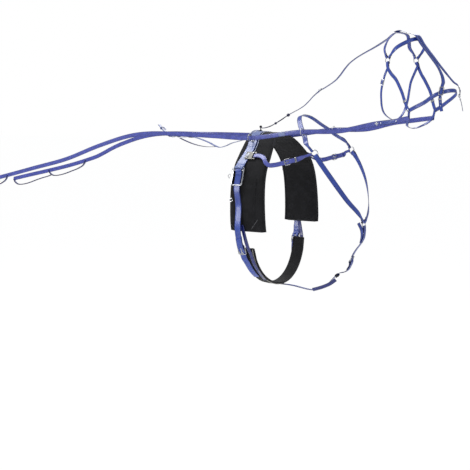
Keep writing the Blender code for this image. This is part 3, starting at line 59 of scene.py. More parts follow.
LAMPS = (
    ("top_lamp", (-2.2, -0.6, 3.6), (0, 0, -0.1), 2.6, 120),
    ("left_lamp", (-2.4, -4.4, 0.7), (0.1, 0, -0.2), 1.2, 44),
    ("right_lamp", (4.6, -1.6, 1.6), (0.4, 0, 0), 1.6, 24),
    ("back_lamp", (-0.6, 4.2, 2.4), (0, 0, 0), 2.0, 55),
)


class Socket:
    """A value in a node tree, with Python's operators for its Math nodes."""

    def __init__(self, nodes, socket):
        self.nodes = nodes
        self.socket = socket

    def maths(self, operation, *values):
        return self.nodes.node("ShaderNodeMath", {"operation": operation}, values)

    def __add__(self, other):
        return self.maths("ADD", self, other)

    __radd__ = __add__

    def __sub__(self, other):
        return self.maths("SUBTRACT", self, other)

    def __rsub__(self, other):
        return self.maths("SUBTRACT", other, self)

    def __mul__(self, other):
        return self.maths("MULTIPLY", self, other)

    __rmul__ = __mul__

    def __truediv__(self, other):
        return self.maths("DIVIDE", self, other)

    def __abs__(self):
        return self.maths("ABSOLUTE", self)

    def sine(self):
        return self.maths("SINE", self)

    def fraction(self):
        """What it holds above its last whole number, so that a mark repeats."""
        return self.maths("FRACT", self)

    def rise(self, low, high):
        """0 below low and 1 above high, with a smooth step between."""
        return self.nodes.node("ShaderNodeMapRange", {"interpolation_type": "SMOOTHSTEP"}, (self, low, high))


class Nodes:
    """A node tree, and the one method that adds nodes to it."""

    def __init__(self, tree):
        self.tree = tree

    def node(self, kind, settings=(), values=(), output=0):
        made = self.tree.nodes.new(kind)
        for key, value in dict(settings).items():
            setattr(made, key, value)
        for key, value in values.items() if isinstance(values, dict) else enumerate(values):
            self.feed(made.inputs[key], value)
        return Socket(self, made.outputs[output])

    def feed(self, socket, value):
        if isinstance(value, Socket):
            self.tree.links.new(value.socket, socket)
        elif value is not None:
            socket.default_value = (*value, 1) if socket.type == "RGBA" and len(value) == 3 else value

    def seen(self):
        """1 for the rays that see the background straight from the camera, and 0 for the rest."""
        return self.node("ShaderNodeLightPath", output="Is Camera Ray")


class Finish(Nodes):
    """A material: one Principled shader, and the nodes that vary it over the surface."""

    def __init__(self, name, slot=None, **constants):
        self.material = bpy.data.materials.new(name)
        self.material.use_nodes = True
        self.slot = slot
        super().__init__(self.material.node_tree)
        self.shader = self.tree.nodes["Principled BSDF"]
        for key, value in constants.items():
            self.feed(self.shader.inputs[key.replace("_", " ").title().replace("Ior", "IOR")], value)

    def drive(self, key, value):
        self.feed(self.shader.inputs[key], value)

    def mix(self, factor, first, second):
        """A colour between two, each a colour or a socket."""
        return self.node("ShaderNodeMix", {"data_type": "RGBA"}, {0: factor, 6: first, 7: second}, 2)

    def grain(self, scale, detail=2.0, stretch=(1, 1, 1)):
        """A noise over the object's own space, from 0 to 1."""
        place = self.node("ShaderNodeTexCoord", output="Object")
        sized = self.node("ShaderNodeVectorMath", {"operation": "MULTIPLY"}, (place, stretch))
        return self.node("ShaderNodeTexNoise", (), {"Vector": sized, "Scale": scale, "Detail": detail})

    def bump(self, height, distance, strength=1.0):
        values = {"Height": height, "Distance": distance, "Strength": strength}
        self.drive("Normal", self.node("ShaderNodeBump", (), values))

    def split(self, vector):
        """The three parts of a vector, each a socket."""
        parts = self.node("ShaderNodeSeparateXYZ", (), (vector,)).socket.node
        return [Socket(self, part) for part in parts.outputs]


def lamp(name, place, toward, size, power):
    """A square soft lamp, its size in metres and its power in watts."""
    data = bpy.data.lights.new(name, "AREA")
    data.size = size
    data.energy = power
    item = bpy.data.objects.new(name, data)
    bpy.context.scene.collection.objects.link(item)
    item.location = place
    item.rotation_euler = (Vector(toward) - Vector(place)).to_track_quat("-Z", "Y").to_euler()


def studio_camera():
    scene = bpy.context.scene
    data = bpy.data.cameras.new("camera")
    data.lens = LENS
    camera = bpy.data.objects.new("camera", data)
    scene.collection.objects.link(camera)
    camera.location = CAMERA_PLACE
    camera.rotation_euler = (math.pi / 2 - CAMERA_TILT, 0, CAMERA_TURN)
    scene.camera = camera
    scene.view_settings.view_transform = "Standard"


def studio_light():
    world = bpy.data.worlds.new("studio")
    bpy.context.scene.world = world
    world.use_nodes = True
    air = Nodes(world.node_tree)
    soft = air.node("ShaderNodeBackground", (), (AIR_COLOUR, AIR_POWER))
    white = air.node("ShaderNodeBackground", (), (LAMP_WHITE, 1))
    both = air.node("ShaderNodeMixShader", (), (air.seen(), soft, white))
    air.feed(world.node_tree.nodes["World Output"].inputs["Surface"], both)
    for values in LAMPS:
        lamp(*values)


def studio_floor():
    """The floor, which glows toward the camera so that it meets the white background unseen."""
    bpy.ops.mesh.primitive_plane_add(size=FLOOR_SIZE, location=(0, 0, FLOOR_HEIGHT))
    floor = bpy.context.object
    floor.name = "studio_floor"
    pale = Finish("pale_floor", roughness=0.9)
    pale.drive("Base Color", pale.mix(pale.grain(FLOOR_CLOUDS), *FLOOR_SHADES))
    white = pale.node("ShaderNodeEmission", (), (LAMP_WHITE, FLOOR_GLOW))
    lit = Socket(pale, pale.shader.outputs[0])
    both = pale.node("ShaderNodeMixShader", (), (pale.seen() * GLOW_SHARE, lit, white))
    pale.feed(pale.tree.nodes["Material Output"].inputs["Surface"], both)
    floor.data.materials.append(pale.material)


studio_camera()
studio_light()
studio_floor()

# Saddle pad: a thick black felt pad over the back and down both sides, filled like a thin
# cushion and bound along its edge with a folded tape. The straps above press it flat, and it
# swells a little beside them. The cloth simulation fills it from the inside.
VOXEL = 0.005
START_INSET = 0.0012
SWELL = 0.0030
PRESS_NEAR, PRESS_FAR = 0.004, 0.022
PRESS_GAP = 0.0004
INNER_SWELL = 0.0015
HELD_REACH = 0.006
RIM_HELD = 0.009
RIM_INSET = 0.0030
SIM_FRAMES = 20
BINDING_RADIUS = 0.0044
BINDING_SINK = 0.0046
SHADE_ANGLE = math.radians(50)
CORE = Vector((0.05, 0, -0.36))
PAD_RADIUS = 0.33
RAY_REACH = 0.93
EDGE_HALVINGS = 12
END_SEARCH, END_POINTS = 0.5, 10
PAD_TURN, PAD_STEPS, PAD_REACH = 1.80, 90, 0.16
PAD_TOP_SET, PAD_FOOT_SET = 0.030, 0.080
PAD_SIDE = -0.27
SEAMS_AHEAD, SEAM_TOP, SEAM_FOOT = (0.050, 0.122), -0.20, -0.42
SEAM_STEPS, SEAM_LIFT, SEAM_RADIUS = 20, 0.0004, 0.0010
DARTS = (((-0.018, -0.415), (0.006, -0.444)), ((0.140, -0.395), (0.104, -0.440)))
DART_STEPS, DART_LIFT, DART_RADIUS = 8, 0.0006, 0.0011
FELT_WEAR, FELT_WEAR_FADE = 26.0, (0.35, 0.75)
FELT_PILE, FELT_RELIEF = 900.0, 0.0006
FELT_ROUGH, FELT_ROUGH_RANGE = 0.80, 0.12
PAD_HOLDERS = (
    "saddle_band", "hitch_frame_R", "hitch_frame_L", "hitch_bracket_R", "hitch_bracket_L",
    "girth_strap_R", "girth_strap_L", "girth_billet_R", "girth_billet_L", "back_strap",
)


def felt_finish(name, colour, worn_colour):
    """Dull felt with a short pile, in two shades where it has worn."""
    felt = Finish(name, "black_pad", sheen_weight=0.10, sheen_roughness=0.5, specular_ior_level=0.25)
    wear, pile = felt.grain(FELT_WEAR, 4.0), felt.grain(FELT_PILE, 2.0)
    felt.drive("Base Color", felt.mix(wear.rise(*FELT_WEAR_FADE), colour, worn_colour))
    felt.drive("Roughness", wear * FELT_ROUGH_RANGE + FELT_ROUGH)
    felt.bump(pile + wear * 2.0, FELT_RELIEF, strength=0.6)
    return felt


FELT = felt_finish("black_felt", (0.0045, 0.0045, 0.0055), (0.012, 0.012, 0.014))
BINDING = felt_finish("black_binding", (0.010, 0.010, 0.012), (0.022, 0.022, 0.026))
DART = felt_finish("grey_dart", (0.10, 0.10, 0.11), (0.16, 0.16, 0.17))


def placed(piece, body="harness"):
    bpy.context.scene.collection.objects.link(piece)
    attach(piece, body)
    return piece


def new_piece(name, points, faces, finish, body="harness"):
    mesh = bpy.data.meshes.new(name)
    mesh.from_pydata([tuple(p) for p in points], [], faces)
    work = bmesh.new()
    work.from_mesh(mesh)
    bmesh.ops.recalc_face_normals(work, faces=work.faces)
    work.to_mesh(mesh)
    work.free()
    mesh.materials.append(finish.material)
    mesh.shade_smooth()
    mesh.set_sharp_from_angle(angle=SHADE_ANGLE)
    return placed(bpy.data.objects.new(name, mesh), body)


def solids_of(*nodes):
    """One search tree over the solids of these nodes."""
    points, faces = [], []
    for node in nodes:
        mesh = frame["nodes"][node].data
        start = len(points)
        points += [v.co.copy() for v in mesh.vertices]
        faces += [[start + i for i in face.vertices] for face in mesh.polygons]
    return BVHTree.FromPolygons(points, faces)


def baked(piece):
    """The piece's mesh with its modifiers applied."""
    graph = bpy.context.evaluated_depsgraph_get()
    mesh = bpy.data.meshes.new_from_object(piece.evaluated_get(graph))
    piece.modifiers.clear()
    old, piece.data = piece.data, mesh
    bpy.data.meshes.remove(old)
    return mesh


def pressed(tree, place):
    """The outer face of a solid straight toward the core from a place, and the way out there."""
    away = Vector((0, place.y, place.z - CORE.z)).normalized()
    return tree.ray_cast(Vector((place.x, 0, CORE.z)) + away, -away, RAY_REACH)[0], away


def rim_points(tree, first, last, middle, reach, count):
    """Round the edge of a pad, its front edge down one way and its rear edge back."""

    def hit(angle, x):
        way = Vector((0, math.sin(angle), math.cos(angle)))
        return tree.ray_cast(Vector((x, 0, CORE.z)) + way, -way, RAY_REACH)[0]

    def edge(inside, outside, look):
        for _ in range(EDGE_HALVINGS):
            half = (inside + outside) / 2
            if look(half):
                inside = half
            else:
                outside = half
        return inside

    inset_turn = RIM_INSET / PAD_RADIUS
    low = edge(first, first - END_SEARCH, lambda angle: hit(angle, middle(angle))) + inset_turn
    high = edge(last, last + END_SEARCH, lambda angle: hit(angle, middle(angle))) - inset_turn
    angles = [low] + [first + (last - first) * k / count for k in range(count + 1)] + [high]
    loop = []
    for sign, row in ((1, angles), (-1, angles[::-1])):
        for angle in row:
            x = edge(middle(angle), middle(angle) + sign * reach, lambda v: hit(angle, v))
            loop.append(hit(angle, x - sign * RIM_INSET))
        start, stop = loop[-1].x, middle(row[-1]) * 2 - loop[-1].x
        loop += [hit(row[-1], start + (stop - start) * k / END_POINTS) for k in range(1, END_POINTS)]
    return loop


def fill(piece, held, rim):
    """Pressure from the inside, with gravity off; the rim and the pressed places are held."""
    change = piece.modifiers.new("filling", "CLOTH")
    group = piece.vertex_groups.new(name="held")
    points = KDTree(len(rim))
    for k, point in enumerate(rim):
        points.insert(point, k)
    points.balance()
    still = [
        vert.index for vert in piece.data.vertices
        if points.find(vert.co)[2] < RIM_HELD or held.find_nearest(vert.co)[3] < HELD_REACH
    ]
    group.add(still, 1.0, "REPLACE")
    change.settings.vertex_group_mass = "held"
    change.settings.quality = 4
    change.settings.mass = 0.3
    change.settings.tension_stiffness = 12
    change.settings.compression_stiffness = 12
    change.settings.use_pressure = True
    change.settings.uniform_pressure_force = 4
    change.settings.effector_weights.gravity = 0
    change.point_cache.frame_start = 1
    change.point_cache.frame_end = SIM_FRAMES
    for number in range(1, SIM_FRAMES + 1):
        bpy.context.scene.frame_set(number)
    baked(piece)
    bpy.context.scene.frame_set(1)


def stuffed(node, name, finish, holders, rim):
    """A filled pad from a node's solid, kept inside the room that it has under its holders."""
    mesh = frame["nodes"][node].data.copy()
    piece = placed(bpy.data.objects.new(name, mesh))
    change = piece.modifiers.new("even_mesh", "REMESH")
    change.mode = "VOXEL"
    change.voxel_size = VOXEL
    mesh = baked(piece)
    for vert in mesh.vertices:
        vert.co -= vert.normal * START_INSET
    solid, held = solids_of(node), solids_of(*holders)
    fill(piece, held, rim)
    mesh = piece.data
    for vert in mesh.vertices:
        near, normal, _, _ = solid.find_nearest(vert.co)
        above = (vert.co - near).dot(normal)
        inward = normal.dot(near - Vector((near.x, 0, CORE.z))) < 0
        room = held.find_nearest(vert.co)[3]
        free = min(max((room - PRESS_NEAR) / (PRESS_FAR - PRESS_NEAR), 0), 1)
        limit = INNER_SWELL if inward else SWELL * free - PRESS_GAP
        if above > limit:
            vert.co = near + normal * limit
    mesh.materials.clear()
    mesh.materials.append(finish.material)
    mesh.shade_smooth()
    change = piece.modifiers.new("smooth_felt", "SUBSURF")
    change.levels = change.render_levels = 1
    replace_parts(piece, node)


class Shape:
    """A mesh put together from rods, turned forms, plates and loops, for one piece."""

    def __init__(self):
        self.points, self.faces = [], []

    def rings(self, rows, closed=False):
        """A skin over rows of points, each a ring with as many points, with flat ends."""
        start, sides, count = len(self.points), len(rows[0]), len(rows)
        self.points += [point for row in rows for point in row]
        for k in range(count if closed else count - 1):
            a, b = start + k * sides, start + (k + 1) % count * sides
            self.faces += [(a + j, a + (j + 1) % sides, b + (j + 1) % sides, b + j) for j in range(sides)]
        if not closed:
            last = start + (count - 1) * sides
            self.faces += [tuple(range(start, start + sides)), tuple(range(last, last + sides))]
        return self

    def rod(self, points, radius, closed=False, sides=12):
        """A round rod along the points."""
        count = len(points)
        ways = []
        for k in range(count):
            after = points[(k + 1) % count] if closed or k < count - 1 else points[k]
            before = points[k - 1] if closed or k else points[k]
            ways.append((after - before).normalized())
        helper = Vector((0, 0, 1)) if abs(ways[0].z) < 0.9 else Vector((1, 0, 0))
        normals = [(helper - ways[0] * helper.dot(ways[0])).normalized()]
        for way in ways[1:] + ways[:1]:
            normals.append((normals[-1] - way * normals[-1].dot(way)).normalized())
        twist = 0
        if closed:
            over = normals[0].cross(normals[-1]).dot(ways[0])
            twist = math.atan2(over, normals[0].dot(normals[-1]))
        rows = []
        for k, (point, way, normal) in enumerate(zip(points, ways, normals)):
            side = Matrix.Rotation(-twist * k / count, 3, way) @ normal
            other = way.cross(side)
            turns = [math.tau * j / sides for j in range(sides)]
            rows.append([point + (side * math.cos(a) + other * math.sin(a)) * radius for a in turns])
        return self.rings(rows, closed)

    def circle(self, centre, axis_a, axis_b, radius, wire, count=36):
        """A closed ring in the plane of two directions."""
        turns = [math.tau * k / count for k in range(count)]
        a, b = Vector(axis_a), Vector(axis_b)
        points = [Vector(centre) + (a * math.cos(t) + b * math.sin(t)) * radius for t in turns]
        return self.rod(points, wire, True)

    def turned(self, place, profile, sides=20):
        """A form turned round local z, from rows of radius and height."""
        turns = [math.tau * k / sides for k in range(sides)]
        rows = [[place @ Vector((r * math.cos(t), r * math.sin(t), h)) for t in turns] for r, h in profile]
        return self.rings(rows)

    def dome(self, place, radius, height):
        """The round head of a stud or rivet."""
        shares = ((1, -0.3), (1, 0.25), (0.86, 0.66), (0.55, 0.92), (0.18, 1.0))
        return self.turned(place, [(radius * r, height * h) for r, h in shares], 14)

    def plate(self, place, edge, low, high, ease):
        """A flat plate with this outline and eased edges, between two heights."""
        sunk = [tuple(Vector(p) - Vector(p).normalized() * ease) for p in edge]
        rows = ((sunk, low), (edge, low + ease), (edge, high - ease), (sunk, high))
        return self.rings([[place @ Vector((x, y, z)) for x, y in row] for row, z in rows])

    def sleeve(self, place, half_wide, half_high, thick, length):
        """A flat loop round a strap, which runs along local x."""
        wide, high = half_wide + thick, half_high + thick
        inner_corner, outer_corner = half_high * 0.7, high * 0.8
        inner = outline(-half_wide, half_wide, half_high, inner_corner, inner_corner)
        outer = outline(-wide, wide, high, outer_corner, outer_corner)
        rows = ((inner, -length / 2), (outer, -length / 2), (outer, length / 2), (inner, length / 2))
        return self.rings([[place @ Vector((x, y, z)) for y, z in row] for row, x in rows], True)

    def made(self, name, finish, mark="R", body="harness", nodes=()):
        """The piece, drawn for the right side and turned over for the left."""
        if mark == "L":
            self.points = [Vector((p.x, -p.y, p.z)) for p in self.points]
        piece = new_piece(name, self.points, self.faces, finish, body)
        if nodes:
            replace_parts(piece, *nodes)


def outline(low, high, half, low_corner, high_corner, steps=5):
    """A rounded oblong from low to high along x, with its own corner radius at each end."""
    points = []
    for quarter, (end, side, corner) in enumerate((
        (high - high_corner, 1, high_corner), (low + low_corner, 1, low_corner),
        (low + low_corner, -1, low_corner), (high - high_corner, -1, high_corner),
    )):
        for k in range(steps + 1):
            a = (quarter + k / steps) * math.pi / 2
            points.append((end + corner * math.cos(a), side * (half - corner) + corner * math.sin(a)))
    return points


def local(origin, x, y):
    """The frame of a fitting: x and y lie in its plane, and z stands out of it."""
    x = Vector(x).normalized()
    z = x.cross(Vector(y)).normalized()
    turn = Matrix((x, z.cross(x), z)).transposed().to_4x4()
    turn.translation = Vector(origin)
    return turn


def binding(name, rim, finish):
    """The folded tape over a pad's edge."""
    line = [p - Vector((0, p.y, p.z - CORE.z)).normalized() * BINDING_SINK for p in rim]
    Shape().rod(line, BINDING_RADIUS, True, 10).made(name, finish)


def pad_middle(angle):
    return PAD_TOP_SET + (PAD_FOOT_SET - PAD_TOP_SET) * min(abs(angle) / PAD_TURN, 1)


pad_solid = solids_of("saddle_pad")
pad_rim = rim_points(pad_solid, -PAD_TURN, PAD_TURN, pad_middle, PAD_REACH, PAD_STEPS)
stuffed("saddle_pad", "felt_saddle_pad", FELT, PAD_HOLDERS, pad_rim)
binding("pad_binding", pad_rim, BINDING)


def along_pad(start, stop, steps, lift):
    """Points on the pad's right side between two places, each given as ahead and up."""
    points = []
    for k in range(steps + 1):
        ahead, up = (a + (b - a) * k / steps for a, b in zip(start, stop))
        hit, away = pressed(pad_solid, Vector((ahead, PAD_SIDE, up)))
        points.append(hit + away * lift)
    return points


# Seams down the pad's sides and the short darts at its lower corners
for mark in "RL":
    seams, darts = Shape(), Shape()
    for ahead in SEAMS_AHEAD:
        seam = along_pad((ahead, SEAM_TOP), (ahead, SEAM_FOOT), SEAM_STEPS, SEAM_LIFT)
        seams.rod(seam, SEAM_RADIUS, sides=8)
    for start, stop in DARTS:
        darts.rod(along_pad(start, stop, DART_STEPS, DART_LIFT), DART_RADIUS, sides=8)
    seams.made("pad_seams_" + mark, BINDING, mark)
    darts.made("pad_darts_" + mark, DART, mark)

# Saddle band: coated webbing over the pad, in a paler blue that is painted reflection of the light from
# above. Every blue strap is a woven tape in a glossy coat, with soft round edges painted nearly navy as
# painted shade, and some have two rows of stitches. Each run is read from its solid, so it folds and tapers
# as that.
WEB_STEP = 0.007
NEAREST_STEPS, SLOPE_STEP = 399, 0.002
BEND_ANGLE = math.radians(12)
SHARP_ANGLE = math.radians(60)
WELD = 0.00001
WEB_SECTION = ((0, 1.0), (0.30, 1.0), (0.58, 0.97), (0.80, 0.88), (0.93, 0.66), (1.0, 0.26))
SLOT_EASE = 0.0015
STATION_GAP, COLUMN_GAP = 0.0005, 0.05
EDGE_SHADE_FADE = (0.0006, 0.0030)
SEAM_INSET = 0.0034
STITCH_PITCH, STITCH_END = 0.0052, (0.30, 0.36)
THREAD_WIDTH, THREAD_EDGE = 0.0011, (0.35, 0.65)
WEAVE_ACROSS, WEAVE_ALONG = 5200, 4300
WEAVE_HEIGHT, WEAR_HEIGHT, STITCH_HEIGHT, WEB_RELIEF = 0.10, 0.25, 1.2, 0.0003
WEB_ROUGH, WEB_ROUGH_RANGE = 0.24, 0.16
WEB_CLOUDS, CLOUD_FADE, CLOUD_LIGHTER, WEB_WEAR = 38.0, (0.35, 0.7), 1.25, 240.0
# Painted shade for the rounded edges of the blue straps.
EDGE_SHADE_NAVY = (0.007, 0.012, 0.11)
BAND_CORD_TOP, BAND_CORD_FOOT = (-0.010, 0, 0.017), (0.040, -0.190, -0.078)
BAND_CORD_AHEAD, BAND_CORD_LIFT, BAND_CORD_RADIUS = 0.031, 0.0012, 0.0017
BAND_CORD_STEPS = 24


class StrapLine:
    """A strap as stations: middle points, half widths and half thicknesses."""

    def __init__(self, centres, wides, thicks, slots=()):
        self.centres, self.wides, self.thicks, self.slots = centres, wides, thicks, slots
        self.so_far = [0]
        for a, b in zip(centres, centres[1:]):
            self.so_far.append(self.so_far[-1] + (b - a).length)
        self.length = self.so_far[-1]

    def nearest(self, place):
        """The distance along the strap at which it comes nearest to a place."""
        place = Vector(place)
        distances = [self.length * k / NEAREST_STEPS for k in range(NEAREST_STEPS + 1)]
        return min(distances, key=lambda distance: (self.at(distance)[0] - place).length)

    def at(self, distance):
        """The middle point, half width and half thickness there, on a smooth line."""
        distance = min(max(distance, 0), self.length)
        k = max(i for i, reach in enumerate(self.so_far[:-1]) if reach <= distance)
        span = self.so_far[k + 1] - self.so_far[k]
        t = (distance - self.so_far[k]) / span
        return tuple(self.smooth(rows, k, t, span) for rows in (self.centres, self.wides, self.thicks))

    def smooth(self, rows, k, t, span):
        """A curve between two stations, or a straight line beside a slot."""
        a, b = rows[k], rows[k + 1]
        middle = self.so_far[k] + span / 2
        if any(start < middle < stop for start, stop, _ in self.slots):
            return a + (b - a) * t
        slope_a = slope_b = (b - a) / span
        if k > 0:
            before = self.so_far[k] - self.so_far[k - 1]
            slope_a = ((a - rows[k - 1]) / before * span + slope_a * before) / (span + before)
        if k + 2 < len(rows):
            after = self.so_far[k + 2] - self.so_far[k + 1]
            slope_b = ((rows[k + 2] - b) / after * span + slope_b * after) / (span + after)
        from_a = a * (2 * t**3 - 3 * t**2 + 1) + slope_a * (span * (t**3 - 2 * t**2 + t))
        return from_a + b * (3 * t**2 - 2 * t**3) + slope_b * (span * (t**3 - t**2))

    def on(self, place, offset=(0, 0, 0), rise=None):
        """Local x along the strap, y across it and z out of it, on its outer face near a place."""
        distance = self.nearest(place)
        centre, wide, thick = self.at(distance)
        ahead, behind = self.at(distance + SLOPE_STEP)[0], self.at(distance - SLOPE_STEP)[0]
        x = (ahead - behind).normalized()
        z = (thick - x * thick.dot(x)).normalized()
        turn = Matrix((x, z.cross(x), z)).transposed().to_4x4()
        turn.translation = centre + z * (thick.length if rise is None else rise) + Vector(offset)
        return turn

    def marks(self, step):
        """Distances along the strap, at every station and about one step apart between them."""
        distances = []
        for k, (a, b) in enumerate(zip(self.so_far, self.so_far[1:])):
            pieces = max(math.ceil((b - a) / step), 2 if self.bends(k) else 1)
            distances += [a + (b - a) * j / pieces for j in range(pieces)]
        return distances + [self.length]

    def bends(self, k):
        """Whether the strap turns by more than a few degrees at either end of a span."""
        for i in (k, k + 1):
            if 0 < i < len(self.centres) - 1:
                into = self.centres[i] - self.centres[i - 1]
                onto = self.centres[i + 1] - self.centres[i]
                if into.angle(onto) > BEND_ANGLE:
                    return True
        return False


def route(points, outs, width, thick):
    """A strap laid along points, with the way that its outer face looks at each."""
    points = [Vector(p) for p in points]
    outs = [Vector(o) for o in outs] if len(outs) == len(points) else [Vector(outs[0])] * len(points)
    wides, thicks = [], []
    for k, out in enumerate(outs):
        way = (points[min(k + 1, len(points) - 1)] - points[max(k - 1, 0)]).normalized()
        out = (out - way * out.dot(way)).normalized()
        thicks.append(out * (thick / 2))
        wides.append(way.cross(out) * (width / 2))
    return StrapLine(points, wides, thicks)


def sharp_lines(node):
    """A solid's points, and for each one on a sharp edge the points next to it along such edges."""
    work = bmesh.new()
    work.from_mesh(frame["nodes"][node].data)
    bmesh.ops.remove_doubles(work, verts=work.verts, dist=WELD)
    places = {vert.index: vert.co.copy() for vert in work.verts}
    next_to = {}
    for edge in work.edges:
        if edge.calc_face_angle(0) > SHARP_ANGLE:
            for vert in edge.verts:
                next_to.setdefault(vert.index, []).append(edge.other_vert(vert).index)
    work.free()
    return places, next_to


def joined_groups(next_to):
    """The points that sharp edges join, group by group: the strap's own first, then its slots."""
    seen, groups = set(), []
    for start in sorted(next_to):
        waiting, group = [start], []
        while waiting:
            vert = waiting.pop()
            if vert not in seen:
                seen.add(vert)
                group.append(vert)
                waiting += next_to[vert]
        if group:
            groups.append(group)
    return sorted(groups, key=len, reverse=True)


def corner_rails(group, places, next_to, from_front):
    """The four long corner edges of a strap, as rows of places from one end to the other."""

    def follow(corner, first):
        way = [corner, first]
        while len(next_to[way[-1]]) == 2:
            way.append(next(v for v in next_to[way[-1]] if v != way[-2]))
        return way

    def run(row):
        return sum((places[a] - places[b]).length for a, b in zip(row, row[1:]))

    def ways(vert):
        """The sharp edges from a corner: through the web, across it and along it."""
        return sorted((follow(vert, first) for first in next_to[vert]), key=run)

    corners = [v for v in group if len(next_to[v]) == 3]
    corner = max(corners, key=lambda v: places[v].x) if from_front else min(corners)
    below, beside = ways(corner)[0][-1], ways(corner)[1][-1]
    opposite = ways(below)[1][-1]
    return [[places[v] for v in ways(vert)[2]] for vert in (corner, beside, below, opposite)]


def slots_of(groups, places, line):
    """Each slot's start, stop and half width, a little more than the solid's."""
    slots = []
    for group in groups:
        stations, reach = [], []
        for vert in group:
            place = places[vert]
            k = min(range(len(line.centres)), key=lambda i: (line.centres[i] - place).length)
            stations.append(line.so_far[k])
            reach.append(abs((place - line.centres[k]).dot(line.wides[k].normalized())))
        half = sum(reach) / len(reach) + SLOT_EASE / 3
        slots.append((min(stations) - SLOT_EASE, max(stations) + SLOT_EASE, half))
    return slots


def read_strap(node, inside, from_front=False):
    """A strap's line from its solid, with the outer side away from a place inside its round."""
    places, next_to = sharp_lines(node)
    groups = joined_groups(next_to)
    centres, wides, thicks = [], [], []
    for a, b, c, d in zip(*corner_rails(groups[0], places, next_to, from_front)):
        centres.append((a + b + c + d) / 4)
        wides.append((b - a + d - c) / 4)
        thicks.append((a - c + b - d) / 4)
    if sum(t.normalized().dot(p - Vector(inside)) for t, p in zip(thicks, centres)) < 0:
        thicks = [-t for t in thicks]
    line = StrapLine(centres, wides, thicks)
    line.slots = slots_of(groups[1:], places, line)
    return line


def section_of(slot_share):
    """Across and height shares once round the strap, with a column at each side of a slot."""
    half = [(u, v) for u, v in WEB_SECTION if u > slot_share + COLUMN_GAP or not slot_share]
    if slot_share:
        half = [(0, 1.0), (slot_share, 1.0)] + half
    top = [(-u, v) for u, v in half[:0:-1]] + half
    return top + [(u, -v) for u, v in top[::-1]]


def tape_faces(opened, count, left):
    """A tape's skin, open at its slots and closed round them.

    opened says of each span whether it lies in a slot, count is the number of points at a
    station, and left is the column at the left side of a slot.
    """
    faces = []
    was_open = False
    for k, is_open in enumerate(opened):
        a, b = k * count, (k + 1) * count
        for j in range(count):
            if is_open and j in (left, left + 1, count - left - 2, count - left - 3):
                continue
            faces.append((a + j, a + (j + 1) % count, b + (j + 1) % count, b + j))
        if is_open:
            for j in (left, left + 2):
                low = count - 1 - j
                faces.append((a + j, b + j, b + low, a + low))
        if is_open != was_open:
            for j in (left, left + 1):
                low = count - 1 - j
                faces.append((a + j, a + j + 1, a + low - 1, a + low))
        was_open = is_open
    end = len(opened) * count
    return faces + [tuple(range(count)), tuple(range(end, end + count))]


def woven(name, line, finish, first=0, last=None, rise=0, narrow=1.0, thin=1.0, slots=True):
    """A rounded tape along a stretch of a strap's line, raised off it and narrowed if need be."""
    last = line.length if last is None else last
    openings = line.slots if slots else []
    ends = [end for start, stop, _ in openings for end in (start, stop)]
    low, high = first + STATION_GAP, last - STATION_GAP
    inner = {distance for distance in line.marks(WEB_STEP) + ends if low < distance < high}
    distances = [first] + sorted(inner) + [last]
    slot_half = max((half for _, _, half in openings), default=0)
    section = section_of(slot_half / max(wide.length for wide in line.wides))
    count = len(section)
    left = section.index(max((s for s in section[:count // 2] if s[0] < 0), key=lambda s: s[0]))
    points, marks = [], []
    for distance in distances:
        centre, wide, thick = line.at(distance)
        out = thick.normalized()
        for u, v in section:
            points.append(centre + out * rise + wide * (u * narrow) + thick * (v * thin))
            across = u * wide.length * narrow
            marks.append((across, distance, wide.length * narrow - abs(across)))
    middles = [(a + b) / 2 for a, b in zip(distances, distances[1:])]
    opened = [any(start < middle < stop for start, stop, _ in openings) for middle in middles]
    piece = new_piece(name, points, tape_faces(opened, count, left), finish)
    layer = piece.data.attributes.new("web", "FLOAT_VECTOR", "POINT")
    for k, mark in enumerate(marks):
        layer.data[k].vector = mark
    return piece


def web_finish(name, body_colour, edge_shade_colour, thread_colour, stitched=True):
    """The coat's colour and gloss, painted shade along its edges, its faint weave, and two rows of stitches
    near the edges.
    """
    web = Finish(name, "blue_web", coat_weight=0.40, coat_roughness=0.16)
    across, along, edge = web.split(web.node("ShaderNodeAttribute", {"attribute_name": "web"}, output=1))
    cloud, worn = web.grain(WEB_CLOUDS, 3.0), web.grain(WEB_WEAR, 4.0)
    lighter_colour = tuple(c * CLOUD_LIGHTER for c in body_colour)
    body = web.mix(cloud.rise(*CLOUD_FADE), body_colour, lighter_colour)
    # Painted shade: the colour darkens to the edge colour near each edge, where the rounded edges turn from
    # the light.
    colour = web.mix(edge.rise(*EDGE_SHADE_FADE), edge_shade_colour, body)
    weave = (across * WEAVE_ACROSS).sine() * (along * WEAVE_ALONG).sine()
    height = weave * WEAVE_HEIGHT + worn * WEAR_HEIGHT
    if stitched:
        row = 1 - abs(edge - SEAM_INSET).rise(*(THREAD_WIDTH * share for share in THREAD_EDGE))
        step = (along / STITCH_PITCH).fraction()
        stitch = row * (1 - abs(step - 0.5).rise(*STITCH_END))
        colour = web.mix(stitch, colour, thread_colour)
        height = height + stitch * STITCH_HEIGHT
    web.drive("Base Color", colour)
    web.drive("Roughness", worn * WEB_ROUGH_RANGE + WEB_ROUGH)
    web.bump(height, WEB_RELIEF, strength=0.6)
    return web


BLUE = web_finish("blue_web", (0.026, 0.056, 0.32), EDGE_SHADE_NAVY, (0.22, 0.28, 0.58))
PLAIN = web_finish("plain_blue_web", (0.030, 0.068, 0.36), EDGE_SHADE_NAVY, (0.22, 0.28, 0.58), False)
# Painted highlight: a paler blue for the reins and side straps, standing in for the highlights along them.
HIGHLIGHT_BLUE = web_finish("painted_highlight_web", (0.070, 0.088, 0.38), (0.018, 0.026, 0.18), (0.3, 0.3, 0.6), False)
DARK = web_finish("dark_blue_web", (0.010, 0.017, 0.16), (0.004, 0.007, 0.06), (0.12, 0.16, 0.40))
